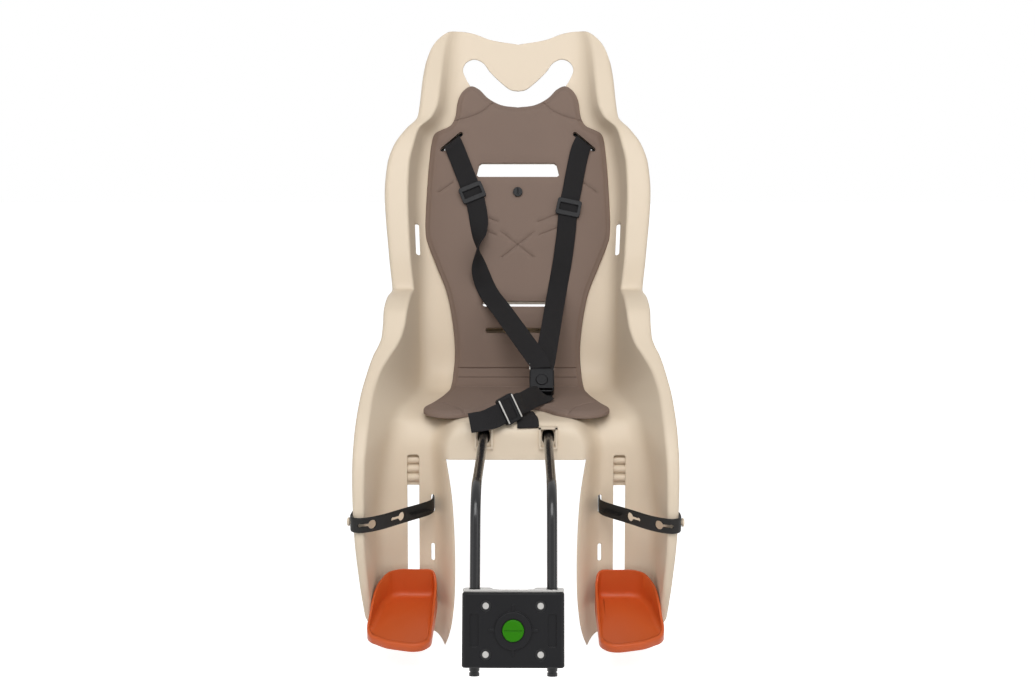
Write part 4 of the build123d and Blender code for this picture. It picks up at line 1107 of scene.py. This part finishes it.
for side, way in (("left", -1), ("right", 1)):
    strap, path, run = buildFootStrap("footStrap" + side.title(), way, footStrapSpec)
    dress(strap, "seat", "black_rubber", "foot_strap_" + side)
    line = []
    for u in np.linspace(footStrapSpec["ribsFrom"], footStrapSpec["ribsTo"], 12):
        x, y = (np.interp(u, run, path[:, k]) for k in (0, 1))
        z = seat["rise"] - footStrapSpec["drop"] + np.interp(u, *zip(*footStrapSpec["slope"]))
        line.append((way * (x - 0.9), y - 0.9, z))  # the ribs stand out of the strap's face
    row = ribRow("strapRibs" + side.title(), line, footStrapSpec["ribs"], finishes["black_rubber"])
    dress(row, "seat", "black_rubber")
print("foot straps done")

# footrests: plan outline with its own wall height at every corner, rounded into the floor

restSpec = dict(
    drop=212.0,
    slope=math.tan(math.radians(10.4)),
    wall=2.8,
    skirt=9.0,
    round=7.0,
    outline=[  # x, reach in front of the leg, height of the wall top above the heel of the floor
        (102, 0.8, 33), (118, 0.8, 33), (136, 0.8, 33), (146, 5.2, 32), (151.5, 11.5, 30.5), (156, 22, 27),
        (159.3, 33, 23.5), (160.8, 42, 20.3),
        (162.2, 53, 14.5), (163, 62, 9), (164, 75, -1.5), (165, 86, -9.5), (164.3, 93, -14),
        (162, 98.5, -16.6), (158.5, 103, -17.9),
        (154, 106, -18.5), (147, 111, -19.4), (141, 114.5, -20.2), (126, 119, -21), (112, 122, -21.5),
        (102.5, 120.3, -21.2), (97, 116, -20.4),
        (93.3, 110.5, -19.3), (92, 104, -18.2), (92, 90, -13.5), (92, 75, -8.5), (92, 58, -2), (92, 40, 6),
        (92, 25, 13), (92.5, 13, 20), (95, 4.5, 29), (98, 1.8, 32),
    ],
)


def buildFootrest(name, way, spec):
    ring = curveThrough(spec["outline"], 2.2, closed=True)
    plan, top = ring[:, :2], ring[:, 2]
    step = np.roll(plan, -1, axis=0) - np.roll(plan, 1, axis=0)
    inward = np.column_stack([-step[:, 1], step[:, 0]]) / np.linalg.norm(step, axis=1)[:, None]
    ly, lz = legFace(spec["drop"])
    floorAt = plan[:, 1] * -spec["slope"]
    top = np.maximum(top, floorAt + 0.7)
    tall = top - floorAt
    edge = np.interp(tall, [0.7, 6], [3.4, 1.0])  # the low front edge rolls over further than the walls
    blend = np.minimum(spec["round"], tall * 0.85)
    wall = np.maximum(spec["wall"], edge + 0.8)
    rows = []

    def addRow(inset, level, above=True):
        # one ring of points: inset from the outline, level above the wall top or the floor
        spot = plan + inward * np.broadcast_to(inset, top.shape)[:, None]
        base = top if above else spot[:, 1] * -spec["slope"]
        z = base + level
        y = ly - spot[:, 1] * math.cos(rake) - z * math.sin(rake)
        rows.append(
            np.column_stack([way * spot[:, 0], y, lz + spot[:, 1] * math.sin(rake) + z * math.cos(rake)])
        )

    addRow(spec["wall"], -spec["wall"], False)
    addRow(spec["wall"], -spec["skirt"], False)
    addRow(0.7, -spec["skirt"], False)
    addRow(0.0, 0.7 - spec["skirt"], False)
    for turn in (0, 0.35, 0.7, 1.05, math.pi / 2):
        addRow(edge * (1 - math.cos(turn)), edge * (math.sin(turn) - 1))
    addRow(wall - 0.5, 0.0)
    addRow(wall, -0.5 * np.minimum(tall, 1.0))
    for k in range(7):
        a = math.pi / 2 * k / 6
        addRow(wall + blend * (1 - math.cos(a)), np.minimum(blend * (1 - math.sin(a)), tall * 0.8), False)
    return sharpen(tidyNormals(addPiece(name, np.vstack(rows), ringFaces(len(rows), len(plan)))), 48)


for side, way in (("left", -1), ("right", 1)):
    rest = buildFootrest("footrest" + side.title(), way, restSpec)
    dress(rest, "footrest_" + side, "orange_plastic", "footrest_" + side)
print("footrests done")

# camera, floor and light

view = dict(focal=1170.0, imageWidth=1035.0, pitch=9.5, place=(0.0124, -1.0509, 0.445), yaw=0.47)
camera = bpy.data.objects.new("camera", bpy.data.cameras.new("camera"))
camera.data.sensor_width = 36.0
camera.data.lens = 36.0 * view["focal"] / view["imageWidth"]
camera.data.clip_start = 0.05
camera.data.clip_end = 50
camera.location = view["place"]
camera.rotation_euler = (math.radians(90 - view["pitch"]), 0, math.radians(view["yaw"]))
bpy.context.collection.objects.link(camera)
bpy.context.scene.camera = camera
bpy.context.scene.view_settings.view_transform = "Standard"


def areaLight(name, place, target, size, power, tint=(1, 1, 1)):
    lamp = bpy.data.lights.new(name, "AREA")
    lamp.shape = "RECTANGLE"
    lamp.size, lamp.size_y = size
    lamp.energy = power
    lamp.color = tint
    obj = bpy.data.objects.new(name, lamp)
    obj.location = place
    obj.rotation_euler = (Vector(target) - Vector(place)).to_track_quat("-Z", "Y").to_euler()
    bpy.context.collection.objects.link(obj)


studio = dict(worldLevel=0.32, floorGlow=0.8, floorColour=(0.9, 0.9, 0.9, 1), floorBelow=0.002)
areaLight("frontSoft", (0.0, -1.1, 1.6), (0, 0.35, 0.15), (1.5, 1.0), 26)
areaLight("leftSoft", (-1.6, -1.2, 1.0), (0, 0.35, 0.25), (0.9, 1.6), 4)
areaLight("rightSoft", (1.6, -1.2, 1.0), (0, 0.35, 0.25), (0.9, 1.6), 6)


def paleWhen(tree, weak, strong):
    # the strong value for rays that show the background itself, else the weak one
    path = tree.nodes.new("ShaderNodeLightPath")
    seen = calc(
        tree, "MAXIMUM", path.outputs["Is Camera Ray"],
        calc(tree, "MAXIMUM", path.outputs["Is Glossy Ray"], path.outputs["Is Transmission Ray"])
    )
    return calc(tree, "ADD", calc(tree, "MULTIPLY", seen, strong - weak), weak)


world = bpy.data.worlds.new("studio")
bpy.context.scene.world = world
world.use_nodes = True
backdrop = world.node_tree.nodes["Background"]
backdrop.inputs["Color"].default_value = (1, 1, 1, 1)
wire(world.node_tree, paleWhen(world.node_tree, studio["worldLevel"], 1.0), backdrop.inputs["Strength"])

floorMesh = bpy.data.meshes.new("floor")
floorZ = float(cadBox[0][2]) - studio["floorBelow"]
floorMesh.from_pydata(
    [(-6, -3, floorZ), (6, -3, floorZ), (6, 12, floorZ), (-6, 12, floorZ)], [], [(0, 1, 2, 3)]
)
floor = bpy.data.objects.new("floor", floorMesh)
bpy.context.collection.objects.link(floor)
paper = bpy.data.materials.new("paleFloor")
paper.use_nodes = True
paperShader = paper.node_tree.nodes["Principled BSDF"]
paperShader.inputs["Base Color"].default_value = studio["floorColour"]
paperShader.inputs["Roughness"].default_value = 0.9
paperShader.inputs["Emission Color"].default_value = (1, 1, 1, 1)
wire(
    paper.node_tree, paleWhen(paper.node_tree, 0.0, studio["floorGlow"]),
    paperShader.inputs["Emission Strength"]
)
floorMesh.materials.append(paper)
print("camera, light and floor set")

# solids kept from the frame take their finish

slotOf = {part["node"]: part["material_slot"] for part in frame["record"]["subparts"]}
for name, obj in nodes.items():
    if obj.type == "MESH":
        for place in obj.material_slots:
            place.material = finishes[slotOf[name]]
